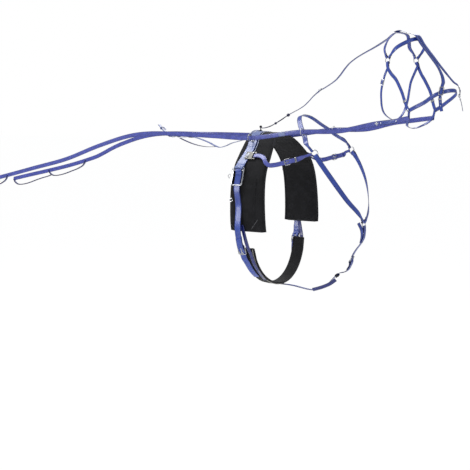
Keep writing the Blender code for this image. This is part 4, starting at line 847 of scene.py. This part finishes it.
# Painted reflection: a paler blue that stands in for the light that upward-facing straps reflect from above.
REFLECTION_BLUE = web_finish("painted_reflection_web", (0.14, 0.19, 0.42), (0.06, 0.09, 0.30), (0.46, 0.51, 0.72))
WHITE = web_finish("white_web", (0.62, 0.66, 0.80), (0.45, 0.50, 0.70), (0.7, 0.7, 0.8), False)


def dress(node, inside, finish, from_front=False):
    """The woven piece that stands for a strap's solid."""
    line = read_strap(node, inside, from_front)
    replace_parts(woven(node + "_tape", line, finish), node)
    return line


def mirrored(place, mark):
    """A place given for the right side, on the side that the mark names."""
    x, y, z = place
    return Vector((x, -y if mark == "L" else y, z))


def band_cord(mark):
    """A white cord down the pad, a little ahead of the band."""
    first, last = band.nearest(BAND_CORD_TOP), band.nearest(mirrored(BAND_CORD_FOOT, mark))
    points = []
    for k in range(BAND_CORD_STEPS + 1):
        centre = band.at(first + (last - first) * k / BAND_CORD_STEPS)[0]
        hit, away = pressed(pad_solid, centre + Vector((BAND_CORD_AHEAD, 0, 0)))
        points.append(hit + away * BAND_CORD_LIFT)
    Shape().rod(points, BAND_CORD_RADIUS, sides=10).made("band_cord_" + mark, WHITE)


band = dress("saddle_band", CORE, REFLECTION_BLUE)
for mark in "RL":
    band_cord(mark)

# Metal fittings: cast and bent stainless steel, polished, with fine scratches from use. The
# rings, rails, keepers and studs are brightest, the brackets are dull, and the hook and the
# snap have gone dark.
STEEL_SHADE, STEEL_CLOUDS, STEEL_ROUGH_RANGE = 0.82, 60.0, 0.10
SCRATCHES, SCRATCH_STRETCH, SCRATCH_RELIEF = 700.0, (1, 1, 0.15), 0.0001


def steel_finish(name, colour, gloss):
    """Steel as rough as gloss says, and a little more where it is clouded or scratched."""
    steel = Finish(name, "steel", metallic=1.0)
    cloud, scratch = steel.grain(STEEL_CLOUDS, 3.0), steel.grain(SCRATCHES, 3.0, SCRATCH_STRETCH)
    steel.drive("Base Color", steel.mix(cloud, tuple(c * STEEL_SHADE for c in colour), colour))
    uneven = cloud * STEEL_ROUGH_RANGE + scratch * STEEL_ROUGH_RANGE
    steel.drive("Roughness", uneven + gloss)
    steel.bump(scratch, SCRATCH_RELIEF, strength=0.5)
    return steel


BRIGHT = steel_finish("bright_steel", (0.72, 0.73, 0.76), 0.12)
STEEL = steel_finish("plain_steel", (0.46, 0.47, 0.50), 0.18)
GREY = steel_finish("grey_steel", (0.28, 0.29, 0.32), 0.30)
BLACKED = steel_finish("dark_steel", (0.045, 0.045, 0.055), 0.34)
DULL = steel_finish("dull_steel", (0.24, 0.235, 0.215), 0.46)

# The solids that stay get these finishes too
for entry in frame["record"]["subparts"]:
    if entry["material_slot"] == "steel":
        mesh = frame["nodes"][entry["node"]].data
        mesh.materials.clear()
        mesh.materials.append((DULL if "bracket" in entry["node"] else STEEL).material)

# Quick hitches: a bent wire frame with a cross bar for the girth strap, a solid rail behind it,
# and a sprung pin through the rail with a wire bail to pull it by. A small ring hangs below.
HITCH = local((0.02, -0.2703, -0.1939), (0, -0.3158, -0.9488), (1, 0, 0))
HITCH_HALF_LENGTH, HITCH_HALF, HITCH_WIRE, HITCH_CORNER = 0.044, 0.0278, 0.0032, 0.0042
HITCH_BAR = -0.0295
HITCH_RIVET, HITCH_RIVET_SIZE = 0.040, (0.0046, 0.0032)
RAIL_REAR, RAIL_FRONT, RAIL_CORNER = -0.0346, -0.0246, 0.003
RAIL_HALF_LENGTH, RAIL_HALF_HEIGHT, RAIL_EASE = 0.0398, 0.006, 0.0012
PIN_HEAD, PIN_TIP, PIN_RADIUS = -0.0206, -0.0386, 0.0026
BAIL_WIRE = 0.0014
BAIL = (
    (-0.0118, -0.0465), (-0.006, -0.0425), (0, -0.0398), (0.006, -0.0425),
    (0.0118, -0.0465), (0.006, -0.0512), (0, -0.0553), (-0.006, -0.0512),
)
GIRTH_RING, GIRTH_RING_SLOPE = (-0.011, -0.2825, -0.309), (0, -0.25, -0.97)
GIRTH_RING_RADIUS, GIRTH_RING_WIRE = 0.0078, 0.0019


def flat_path(place, edge):
    """An outline as places in the plane of a fitting."""
    return [place @ Vector((x, y, 0)) for x, y in edge]


def hitch_wires(mark):
    edge = outline(-HITCH_HALF_LENGTH, HITCH_HALF_LENGTH, HITCH_HALF, HITCH_CORNER, HITCH_CORNER)
    wires = Shape().rod(flat_path(HITCH, edge), HITCH_WIRE, True)
    wires.rod(flat_path(HITCH, ((HITCH_BAR, -HITCH_HALF), (HITCH_BAR, HITCH_HALF))), HITCH_WIRE)
    wires.dome(HITCH @ Matrix.Translation((HITCH_RIVET, HITCH_HALF, HITCH_WIRE)), *HITCH_RIVET_SIZE)
    wires.made("hitch_wires_" + mark, STEEL, mark, nodes=("hitch_frame_" + mark,))


def hitch_rail(mark):
    half = (RAIL_FRONT - RAIL_REAR) / 2
    middle = HITCH @ Matrix.Translation((0, (RAIL_REAR + RAIL_FRONT) / 2, 0))
    edge = outline(-RAIL_HALF_LENGTH, RAIL_HALF_LENGTH, half, RAIL_CORNER, RAIL_CORNER)
    rail = Shape().plate(middle, edge, -RAIL_HALF_HEIGHT, RAIL_HALF_HEIGHT, RAIL_EASE)
    rail.made("hitch_rail_" + mark, BRIGHT, mark)


def latch_pin(mark):
    latch = Shape().rod(flat_path(HITCH, ((0, PIN_HEAD), (0, PIN_TIP))), PIN_RADIUS, sides=16)
    latch.rod(flat_path(HITCH, BAIL), BAIL_WIRE, True, 10)
    latch.made("latch_pin_" + mark, STEEL, mark, "latch_" + mark, ("hitch_latch_" + mark,))


def girth_ring(mark):
    ring = Shape().circle(GIRTH_RING, GIRTH_RING_SLOPE, (1, 0, 0), GIRTH_RING_RADIUS, GIRTH_RING_WIRE, 24)
    ring.made("girth_ring_" + mark, BRIGHT, mark)


for mark in "RL":
    hitch_wires(mark)
    hitch_rail(mark)
    latch_pin(mark)
    girth_ring(mark)

# Side brackets: a slotted steel plate on the band below the terret, with a thin plate behind
# and rivets through both, from which the strap toward the breast starts.
BRACKET = local((0.0543, -0.2058, -0.0958), (0, -0.7061, -0.7081), (1, 0, 0))
BRACKET_FACE = 0.0015
BACKING_ALONG, BACKING_BEHIND = 0.002, -0.017
BACKING_HALF_LENGTH, BACKING_HALF, BACKING_CORNER = 0.018, 0.0075, 0.003
BACKING_THICK, BACKING_EASE = 0.0012, 0.0003
BACKING_RIVETS, BACKING_RIVET_SIZE = (-0.010, 0.014), (0.0022, 0.0012)
BRACKET_RIVET, BRACKET_RIVET_SIZE = (-0.016, 0.010), (0.0045, 0.0030)
BAND_STUD, BAND_STUD_OFFSET, BAND_STUD_SIZE = (0.025, -0.185, -0.078), (-0.016, 0, 0), (0.0028, 0.0014)
backing = BRACKET @ Matrix.Translation((BACKING_ALONG, BACKING_BEHIND, BRACKET_FACE))


def bracket_plate(mark):
    corner = BACKING_CORNER
    edge = outline(-BACKING_HALF_LENGTH, BACKING_HALF_LENGTH, BACKING_HALF, corner, corner)
    plate = Shape().plate(backing, edge, 0, BACKING_THICK, BACKING_EASE)
    plate.made("bracket_plate_" + mark, GREY, mark)


def bracket_rivets(mark):
    large = BRACKET @ Matrix.Translation((*BRACKET_RIVET, BRACKET_FACE))
    rivets = Shape().dome(large, *BRACKET_RIVET_SIZE)
    for x in BACKING_RIVETS:
        rivets.dome(backing @ Matrix.Translation((x, 0, BACKING_THICK)), *BACKING_RIVET_SIZE)
    rivets.made("bracket_rivets_" + mark, BRIGHT, mark)


def band_stud(mark):
    spot = band.on(mirrored(BAND_STUD, mark), BAND_STUD_OFFSET)
    Shape().dome(spot, *BAND_STUD_SIZE).made("band_stud_" + mark, BRIGHT)


for mark in "RL":
    bracket_plate(mark)
    bracket_rivets(mark)
    band_stud(mark)

# Terrets and rein rings: a bent ring on a turned foot and a short stem, through which each rein
# runs. The terrets stand on the band, and the smaller rein rings on the neck strap.
TERRET_FOOT, TERRET_OUT = (0.0204, -0.1287, -0.0291), (0, -0.6167, 0.7872)
TERRET_CENTRE, TERRET_LEAN = (0.0204, -0.1593, -0.0116), (0, -0.8821, 0.4711)
TERRET_RADIUS, TERRET_WIRE, TERRET_BASE = 0.0165, 0.0025, (0.0095, 0.005)
REIN_RING_FOOT, REIN_RING_OUT = (0.314, -0.1514, 0.011), (0, -0.8, 0.6)
REIN_RING_CENTRE = (0.314, -0.1682, 0.0236)
REIN_RING_RADIUS, REIN_RING_WIRE, REIN_RING_BASE = 0.0155, 0.0020, (0.0075, 0.004)
BASE_SHAPE = ((1, 0), (1, 0.5), (0.85, 0.8), (0.5, 1.0))
STEM_SHARE = 1.25


def guide_ring(foot, out, base, centre, lean, radius, wire):
    """A ring that leans away from its turned foot, and the stem between them."""
    foot, out, centre, lean = (Vector(values) for values in (foot, out, centre, lean))
    shape = Shape().circle(centre, lean, (0, -lean.z, lean.y), radius, wire)
    base_radius, base_height = base
    standing = local(foot, (1, 0, 0), out.cross(Vector((1, 0, 0))))
    shape.turned(standing, [(base_radius * r, base_height * h) for r, h in BASE_SHAPE])
    return shape.rod([foot + out * base_height / 2, centre - lean * radius], wire * STEM_SHARE)


def terret(mark):
    ring = guide_ring(
        TERRET_FOOT, TERRET_OUT, TERRET_BASE, TERRET_CENTRE, TERRET_LEAN, TERRET_RADIUS, TERRET_WIRE
    )
    ring.made("terret_smooth_" + mark, STEEL, mark, nodes=("terret_" + mark,))


def rein_ring(mark):
    ring = guide_ring(
        REIN_RING_FOOT, REIN_RING_OUT, REIN_RING_BASE,
        REIN_RING_CENTRE, REIN_RING_OUT, REIN_RING_RADIUS, REIN_RING_WIRE,
    )
    ring.made("rein_ring_smooth_" + mark, BRIGHT, mark, nodes=("rein_ring_" + mark,))


for mark in "RL":
    terret(mark)
    rein_ring(mark)

# Check hook: a turned steel post with a round knob on the middle of the band, dark from
# handling. The check rein's cords start from it.
HOOK = local((-0.01, 0, 0.016), (1, 0, 0), (0, 1, 0))
HOOK_FOOT, HOOK_POST, HOOK_KNOB, HOOK_HEIGHT = 0.0085, 0.0026, 0.0068, 0.027
FOOT_EDGE, FOOT_SHOULDER, FOOT_TOP, SHOULDER_SHARE = 0.0016, 0.0030, 0.0072, 0.7
KNOB_START, KNOB_STEPS = math.radians(-64.8), 8
knob_middle = HOOK_HEIGHT - HOOK_KNOB
knob_turns = [KNOB_START + (math.pi / 2 - KNOB_START) * k / KNOB_STEPS for k in range(KNOB_STEPS + 1)]
hook_profile = [
    (HOOK_FOOT, 0), (HOOK_FOOT, FOOT_EDGE), (HOOK_FOOT * SHOULDER_SHARE, FOOT_SHOULDER),
    (HOOK_POST, FOOT_TOP), (HOOK_POST, knob_middle - HOOK_KNOB),
]
hook_profile += [(HOOK_KNOB * math.cos(a), knob_middle + HOOK_KNOB * math.sin(a)) for a in knob_turns]
Shape().turned(HOOK, hook_profile).made("check_hook_smooth", BLACKED, nodes=("check_hook",))

# Girth straps and buckles: from each hitch a strap folds over the heel of a wire buckle, and
# the billet from the belly girth comes up through it. Part of the strap is sewn double.
GIRTH_BUCKLE = local((0.0429, -0.2757, -0.5379), (0.0599, 0.2789, -0.9585), (0.9982, -0.0167, 0.0575))
GIRTH_LOOP = (0.0205, 0.0027, 0.036)
GIRTH_PLY = ((0.036, -0.28, -0.262), (0.045, -0.28, -0.325))
PLY_THIN, PLY_GAP = 0.45, 0.0002
HEEL_CORNER, TIP_CORNER_SHARE = 0.0008, 0.12


def buckle(name, node, place, size, mark="R"):
    """A buckle's wire loop from its heel, with size as its half width, wire radius and length."""
    half, wire, length = size
    edge = outline(0, length, half, wire + HEEL_CORNER, length * TIP_CORNER_SHARE)
    Shape().rod(flat_path(place, edge), wire, True).made(name, STEEL, mark, nodes=(node,))


def ply(name, line, finish, start, stop, narrow=0.86):
    """A second layer sewn on a strap's outer face between two places."""
    first, last = sorted((line.nearest(start), line.nearest(stop)))
    rise = line.thicks[len(line.thicks) // 2].length * (1 + PLY_THIN) + PLY_GAP
    woven(name, line, finish, first, last, rise, narrow, PLY_THIN, slots=False)


for mark in "RL":
    girth = dress("girth_strap_" + mark, CORE, PLAIN)
    dress("girth_billet_" + mark, CORE, PLAIN)
    ply("girth_ply_" + mark, girth, BLUE, *(mirrored(place, mark) for place in GIRTH_PLY))
    buckle("girth_loop_" + mark, "girth_buckle_" + mark, GIRTH_BUCKLE, GIRTH_LOOP, mark)

# Belly girth: a narrower felt pad from billet to billet, filled and bound like the saddle pad,
# with pale piping along its front edge.
BELLY_TURN, BELLY_STEPS, BELLY_REACH = 2.36, 60, 0.08
BELLY_SET, BELLY_SET_LESS = 0.097, 0.025
BELLY_HOLDERS = ("girth_billet_R", "girth_billet_L", "belly_strap")
PIPING_INSET, PIPING_LIFT, PIPING_RADIUS = 0.0055, 0.0014, 0.0026
PIPING = felt_finish("grey_piping", (0.34, 0.33, 0.30), (0.52, 0.50, 0.46))


def belly_middle(angle):
    return BELLY_SET - BELLY_SET_LESS * min(abs(angle - math.pi) / (math.pi - BELLY_TURN), 1)


def belly_piping():
    """The piping along the front edge, which is the rim's first row and its two ends."""
    points = []
    for place in belly_rim[:BELLY_STEPS + 3]:
        hit, away = pressed(belly_solid, place - Vector((PIPING_INSET, 0, 0)))
        points.append(hit + away * PIPING_LIFT)
    Shape().rod(points, PIPING_RADIUS, sides=8).made("belly_piping", PIPING)


belly_solid = solids_of("belly_girth")
belly_turns = (BELLY_TURN, math.tau - BELLY_TURN)
belly_rim = rim_points(belly_solid, *belly_turns, belly_middle, BELLY_REACH, BELLY_STEPS)
stuffed("belly_girth", "felt_belly_girth", FELT, BELLY_HOLDERS, belly_rim)
binding("belly_binding", belly_rim, BINDING)
belly_piping()

# Guard straps: a dark stitched tape beside each billet, sewn on the belly girth and tucked
# under the girth strap above its buckle.
GUARD_TOP = (
    (0.049, -0.2815, -0.428), (0.060, -0.2825, -0.462), (0.070, -0.2790, -0.502), (0.0795, -0.2735, -0.538),
)
GUARD_FOOT = ((0.087, -0.575), (0.094, -0.612), (0.100, -0.648), (0.104, -0.678))
GUARD_OUT = (0, -1, -0.1)
GUARD_WIDTH, GUARD_THICK, GUARD_LIFT = 0.020, 0.0024, 0.0018
GIRTH_RADIUS = 0.345


def guard_strap(mark):
    points = [mirrored(place, mark) for place in GUARD_TOP]
    outs = [mirrored(GUARD_OUT, mark)] * len(GUARD_TOP)
    for ahead, up in GUARD_FOOT:
        beside = -math.sqrt(GIRTH_RADIUS**2 - (up - CORE.z) ** 2)
        hit, away = pressed(belly_solid, mirrored((ahead, beside, up), mark))
        points.append(hit + away * GUARD_LIFT)
        outs.append(away)
    woven("girth_guard_" + mark, route(points, outs, GUARD_WIDTH, GUARD_THICK), DARK)


for mark in "RL":
    guard_strap(mark)

# Straps from the brackets to the shoulder rings: a short tab from each bracket meets the side
# strap in a buckle, and keepers hold the doubled end by the ring.
SIDE_BUCKLE = local((0.2918, -0.247, -0.1147), (-0.9606, -0.1102, -0.2551), (0.251, 0.0495, -0.9667))
SIDE_LOOP = (0.0138, 0.0020, 0.026)
SIDE_KEEPERS = (((0.352, -0.222, -0.105), 0.008), ((0.371, -0.213, -0.096), 0.006))
SIDE_PLIES = 2.0
KEEPER_THICK, KEEPER_SIDE_ROOM, KEEPER_TOP_ROOM = 0.0011, 0.0006, 0.0004
SHOULDER_RING = (0.397, -0.2, -0.078)
SHOULDER_RING_WAYS = ((0.9633, 0.2684, -0.012), (-0.0143, 0.0959, 0.9953))
STRAP_RING_RADIUS, STRAP_RING_WIRE = 0.0175, 0.0024


def keeper(shape, line, place, length, thick=KEEPER_THICK, plies=1.0):
    """A metal or webbing loop round a strap, by a place on it."""
    _, wide, half = line.at(line.nearest(place))
    at = line.on(place, rise=half.length * (plies - 1))
    half_high = half.length * plies + KEEPER_TOP_ROOM
    shape.sleeve(at, wide.length + KEEPER_SIDE_ROOM, half_high, thick, length)


for mark in "RL":
    dress("side_tab_" + mark, CORE, HIGHLIGHT_BLUE)
    side_strap = dress("side_strap_" + mark, CORE, HIGHLIGHT_BLUE)
    buckle("side_loop_" + mark, "side_buckle_" + mark, SIDE_BUCKLE, SIDE_LOOP, mark)
    keepers = Shape()
    for place, length in SIDE_KEEPERS:
        keeper(keepers, side_strap, mirrored(place, mark), length, plies=SIDE_PLIES)
    keepers.made("side_keepers_" + mark, BRIGHT)
    ring = Shape().circle(SHOULDER_RING, *SHOULDER_RING_WAYS, STRAP_RING_RADIUS, STRAP_RING_WIRE)
    ring.made("shoulder_ring_smooth_" + mark, BRIGHT, mark, nodes=("shoulder_ring_" + mark,))

# Neck strap over the neck ahead of the pad, and the breast straps from the shoulder rings to the
# chest ring, with a Y of narrow straps sewn round that ring.
NECK_CORE = Vector((0.45, 0, -0.10))
CHEST_RING, CHEST_RING_WAYS = (0.563, 0, -0.421), ((0, 1, 0), (-0.0499, 0, 0.9988))
WING = (
    (0.552, -0.036, -0.412), (0.563, -0.024, -0.445), (0.561, -0.013, -0.480), (0.553, -0.008, -0.512),
)
WING_OUT, WING_WIDTH, WING_THICK = (0.85, -0.5, -0.1), 0.016, 0.0022

dress("neck_strap", NECK_CORE, BLUE)
for mark in "RL":
    dress("breast_strap_" + mark, NECK_CORE, PLAIN)
    wing = [mirrored(place, mark) for place in WING]
    woven("chest_wing_" + mark, route(wing, [mirrored(WING_OUT, mark)], WING_WIDTH, WING_THICK), BLUE)
chest_ring = Shape().circle(CHEST_RING, *CHEST_RING_WAYS, STRAP_RING_RADIUS, STRAP_RING_WIRE)
chest_ring.made("chest_ring_smooth", BRIGHT, nodes=("chest_ring",))

# Chest strap down to the buckle, and the belly strap on to the girth, with a dark snap between
# them where the strap comes off.
CHEST_BUCKLE = local((0.4988, 0, -0.6041), (0.43, 0, 0.9028), (0, -1, 0))
CHEST_LOOP = (0.0152, 0.0020, 0.024)
LOOSE_END = (
    (0.424, -0.0135, -0.7005), (0.395, -0.0145, -0.722), (0.360, -0.0150, -0.7395),
    (0.328, -0.0145, -0.7515), (0.298, -0.0140, -0.7610),
)
LOOSE_OUT, LOOSE_WIDTH, LOOSE_THICK = (0, -1, -0.35), 0.018, 0.0024
BELLY_PLY = ((0.490, 0, -0.625), (0.446, 0, -0.668))
SNAP, SNAP_RISE, SNAP_SLEEVE = (0.436, 0, -0.692), 0.001, (0.013, 0.0042, 0.0018, 0.012)
SNAP_DOME_RISE, SNAP_DOME = 0.0060, (0.0060, 0.0040)
SNAP_BAR, SNAP_BAR_RISE, SNAP_BAR_RADIUS = (-0.012, 0.014), 0.0062, 0.0022


def chest_snap():
    snap = Shape()
    at = belly_strap.on(SNAP, rise=SNAP_RISE)
    snap.sleeve(at, *SNAP_SLEEVE)
    snap.dome(at @ Matrix.Translation((0, 0, SNAP_DOME_RISE)), *SNAP_DOME)
    snap.rod([at @ Vector((x, 0, SNAP_BAR_RISE)) for x in SNAP_BAR], SNAP_BAR_RADIUS)
    snap.made("chest_snap", BLACKED)


dress("chest_strap", NECK_CORE, BLUE)
belly_strap = dress("belly_strap", NECK_CORE, BLUE)
buckle("chest_loop", "chest_buckle", CHEST_BUCKLE, CHEST_LOOP)
woven("belly_strap_end", route(LOOSE_END, [LOOSE_OUT], LOOSE_WIDTH, LOOSE_THICK), DARK)
ply("belly_strap_upper_ply", belly_strap, BLUE, *BELLY_PLY)
chest_snap()

# Bridle: crown strap, browband, cheek straps, noseband, throatlatch, chin strap and two straps
# down the face, sewn and riveted together, with a ring at each end of the crown strap. The
# whole bridle is turned a little to the right, as the photograph shows it.
HEAD_TURN = math.radians(-23.0)
HEAD_TOP = (0.785, -0.041)
HEAD_AHEAD = (math.cos(HEAD_TURN), math.sin(HEAD_TURN), 0)
HEAD_CORE = (0.86, -0.07, 0.27)
BRIDLE_STRAPS = {
    "crown_strap": BLUE, "browband": PLAIN, "throatlatch": PLAIN, "cheek_strap_R": PLAIN,
    "cheek_strap_L": PLAIN, "noseband": BLUE, "chin_strap": PLAIN, "face_strap_R": PLAIN,
    "face_strap_L": PLAIN,
}
CHEEK_STUD, CHEEK_STUD_SIZE = (0.106, 0.080, 0.128), (0.0052, 0.0034)
CHEEK_KEEPER, CHEEK_KEEPER_LENGTH = (0.084, 0.084, 0.168), 0.009
FACE_KEEPER, FACE_KEEPER_LENGTH = (0.277, 0.058, 0.176), 0.007
FACE_RIVETS, FACE_RIVET_SIZE = ((0.280, 0.059, 0.163), (0.280, 0.059, 0.148)), (0.0024, 0.0016)
THROAT_RIVETS = [(-0.045, 0.092, up) for up in (0.302, 0.288, 0.274, 0.262)]
THROAT_RIVET_SIZE = (0.0020, 0.0013)
CROWN_RING, CROWN_RING_RADIUS, CROWN_RING_WIRE = (-0.028, 0.090, 0.355), 0.015, 0.0019
CROWN_RING_AXIS = {"R": (-0.4341, -0.8954, 0.0994), "L": (0.3425, 0.9343, 0.0994)}
NOSE_RING, NOSE_RING_RADIUS, NOSE_RING_WIRE = (0.278, 0.0585, 0.193), 0.0065, 0.0013


def head(place, side):
    """A place on the bridle: how far ahead of its top it is, how far out to a side, and its height."""
    ahead, out, height = place
    x = HEAD_TOP[0] + ahead * HEAD_AHEAD[0] - side * out * HEAD_AHEAD[1]
    y = HEAD_TOP[1] + ahead * HEAD_AHEAD[1] + side * out * HEAD_AHEAD[0]
    return Vector((x, y, height))


def bridle_fittings(mark, side):
    """One side's studs, rivets and keepers, its crown ring and its nose ring."""
    cheek, face = bridle["cheek_strap_" + mark], bridle["face_strap_" + mark]
    studs.dome(cheek.on(head(CHEEK_STUD, side)), *CHEEK_STUD_SIZE)
    keeper(studs, cheek, head(CHEEK_KEEPER, side), CHEEK_KEEPER_LENGTH)
    keeper(studs, face, head(FACE_KEEPER, side), FACE_KEEPER_LENGTH)
    for place in FACE_RIVETS:
        studs.dome(face.on(head(place, side)), *FACE_RIVET_SIZE)
    for place in THROAT_RIVETS:
        studs.dome(bridle["throatlatch"].on(head(place, side)), *THROAT_RIVET_SIZE)
    axis = Vector(CROWN_RING_AXIS[mark])
    across = axis.cross(Vector((0, 0, 1))).normalized()
    centre = head(CROWN_RING, side)
    ring = Shape().circle(centre, across, axis.cross(across), CROWN_RING_RADIUS, CROWN_RING_WIRE)
    ring.made("crown_ring_smooth_" + mark, BRIGHT, nodes=("crown_ring_" + mark,))
    nose_rings.circle(head(NOSE_RING, side), (0, 0, 1), HEAD_AHEAD, NOSE_RING_RADIUS, NOSE_RING_WIRE, 24)


bridle = {node: dress(node, HEAD_CORE, finish) for node, finish in BRIDLE_STRAPS.items()}
studs, nose_rings = Shape(), Shape()
bridle_fittings("R", -1)
bridle_fittings("L", 1)
studs.made("bridle_studs", BRIGHT)
nose_rings.made("nose_rings", BRIGHT)

# Check rein: thin cords from the hook, knotted together, to a dark knob, and from there a
# doubled tape over the neck to the crown, with a slide to set its length.
CHECK_CORD_START, CHECK_CORD_END = (-0.005, 0, 0.030), (0.144, 0, 0.095)
CHECK_CORD_RADIUS, CHECK_CORD_SPREAD, CHECK_CORD_STEPS = 0.0020, 0.0036, 24
CHECK_KNOTS = (((0.076, 0, 0.055), 0.0062), ((0.147, 0, 0.096), 0.0082))
KNOT_SHAPE, KNOT_LONGER = ((0.25, -1.0), (0.75, -0.66), (1.0, 0), (0.75, 0.66), (0.25, 1.0)), 1.15
check_rein = read_strap("check_rein", NECK_CORE)
cord_start, cord_end = check_rein.nearest(CHECK_CORD_START), check_rein.nearest(CHECK_CORD_END)


def check_cords():
    """Two cords that part and meet twice on their way to the knob."""
    cords = Shape()
    for side in (-1, 1):
        points = []
        for k in range(CHECK_CORD_STEPS + 1):
            share = k / CHECK_CORD_STEPS
            centre, wide, _ = check_rein.at(cord_start + (cord_end - cord_start) * share)
            spread = CHECK_CORD_SPREAD * abs(math.sin(math.tau * share))
            points.append(centre + wide.normalized() * side * spread)
        cords.rod(points, CHECK_CORD_RADIUS, sides=8)
    cords.made("check_cords", DARK)


def check_knots():
    knots = Shape()
    for place, size in CHECK_KNOTS:
        along = check_rein.on(place, rise=0) @ Matrix.Rotation(math.pi / 2, 4, "Y")
        knots.turned(along, [(size * r, size * h * KNOT_LONGER) for r, h in KNOT_SHAPE], 16)
    knots.made("check_knots", DARK)


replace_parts(woven("check_rein_tape", check_rein, BLUE, cord_end), "check_rein")
check_cords()
check_knots()

# Reins: a long tape each, from a riveted billet by the cheek through the rings to the hand
# loops, which are narrower straps sewn under the rein's rear end.
REIN_WAY, REIN_DOWN = Vector((0.9739, 0, 0.2269)), Vector((0.2269, 0, -0.9739))
HAND_DROP, HAND_WIDTH, HAND_THICK = 0.046, 0.013, 0.0056
HAND_START = {"R": (-1.896, -0.0499, -0.3201), "L": (-1.8032, 0.15, -0.3059)}
HAND_LENGTH, HAND_LOOPS = {"R": 0.230, "L": 0.280}, {"R": 1, "L": 2}
HANG = (
    (0, 0), (0.012, 0.30), (0.04, 0.60), (0.09, 0.82), (0.17, 0.94), (0.30, 1.0), (0.45, 0.97), (0.62, 0.87),
)
HANG_ON = ((0.80, 0.80), (0.95, 0.78), (1.06, 0.70))
HANG_UP = ((0.80, 0.74), (0.93, 0.50), (1.0, 0.15), (1.02, 0))
CROSS, CROSS_DOME, CROSS_ARMS = (0.6847, -0.125, 0.0651), (0.0050, 0.0028), (0.0095, 0.0026)
CROSS_CORNER, CROSS_THICK, CROSS_EASE = 0.0025, 0.0016, 0.0004
REIN_RIVETS, REIN_RIVET_SIZE = ((0.7042, -0.125, 0.0685), (0.7784, -0.125, 0.0787)), (0.0034, 0.0022)
# Where a pale ply of painted highlight lies on each rein, and how narrow it is.
REIN_GLINT, REIN_GLINT_NARROW = ((0.185, -0.155, 0.02), (0.222, -0.155, 0.02)), 0.92
REIN_BILLET = ((0.694, -0.125, 0.067), (0.776, -0.14, 0.079))


def hand_loop(mark, number):
    """One of the loops that hang in turn below the rein's end, from the rearmost on."""
    shares = HANG + (HANG_UP if number == HAND_LOOPS[mark] else HANG_ON)
    points = []
    for share, drop in shares:
        along = REIN_WAY * ((number - 1 + share) * HAND_LENGTH[mark])
        points.append(Vector(HAND_START[mark]) + along + REIN_DOWN * (drop * HAND_DROP))
    line = route(points, [REIN_DOWN], HAND_WIDTH, HAND_THICK)
    woven("hand_loop_" + mark + str(number), line, DARK)


def rein_studs(mark, rein):
    """The cross plate behind the rein's billet, with a stud on it, and the billet's rivets."""
    metal = Shape()
    cross = rein.on(mirrored(CROSS, mark))
    metal.dome(cross, *CROSS_DOME)
    for long, wide in (CROSS_ARMS, CROSS_ARMS[::-1]):
        edge = outline(-long, long, wide, CROSS_CORNER, CROSS_CORNER)
        metal.plate(cross, edge, 0, CROSS_THICK, CROSS_EASE)
    for place in REIN_RIVETS:
        metal.dome(rein.on(mirrored(place, mark)), *REIN_RIVET_SIZE)
    metal.made("rein_studs_" + mark, BRIGHT)


for mark in "RL":
    rein = dress("rein_" + mark, (0, 0, 0), HIGHLIGHT_BLUE, from_front=True)
    for number in range(1, HAND_LOOPS[mark] + 1):
        hand_loop(mark, number)
    rein_studs(mark, rein)
    glint, billet = ([mirrored(place, mark) for place in ends] for ends in (REIN_GLINT, REIN_BILLET))
    # Painted highlight: a short pale ply on the rein stands in for a glint there.
    ply("rein_joint_" + mark, rein, REFLECTION_BLUE, *glint, REIN_GLINT_NARROW)
    ply("rein_billet_" + mark, rein, BLUE, *billet)

# Back strap: a tape from the band along the back, set by a slide, with a second strand below
# it, two dark keepers and a small loop that stands up.
LOWER_STRAND = (
    (-0.275, 0, -0.0705), (-0.34, 0, -0.0715), (-0.407, 0, -0.0615), (-0.46, 0, -0.0455),
    (-0.497, 0, -0.0315),
)
STRAND_WIDTH, STRAND_THICK = 0.020, 0.0024
CUFFS, CUFF_THICK, CUFF_PLIES = (((-0.428, 0, -0.024), 0.020), ((-0.556, 0, -0.004), 0.014)), 0.0016, 1.6
STANDING = (
    (-0.590, 0, 0.012), (-0.600, 0, 0.021), (-0.613, 0, 0.025), (-0.622, 0, 0.021), (-0.618, 0, 0.012),
)
STANDING_OUT = ((0, 0, 1), (-0.3, 0, 1), (0, 0, 1), (1, 0, 0.6), (1, 0, 0))
STANDING_WIDTH, STANDING_THICK = 0.012, 0.0022

# The back strap is in the paler blue of painted reflection.
back_strap = dress("back_strap", (-0.3, 0, -0.6), REFLECTION_BLUE)
woven("back_lower_strand", route(LOWER_STRAND, [(0, 0, 1)], STRAND_WIDTH, STRAND_THICK), DARK)
cuffs = Shape()
for place, length in CUFFS:
    keeper(cuffs, back_strap, place, length, CUFF_THICK, CUFF_PLIES)
cuffs.made("back_keepers", DARK)
standing = route(STANDING, STANDING_OUT, STANDING_WIDTH, STANDING_THICK)
woven("back_standing_loop", standing, BLUE)
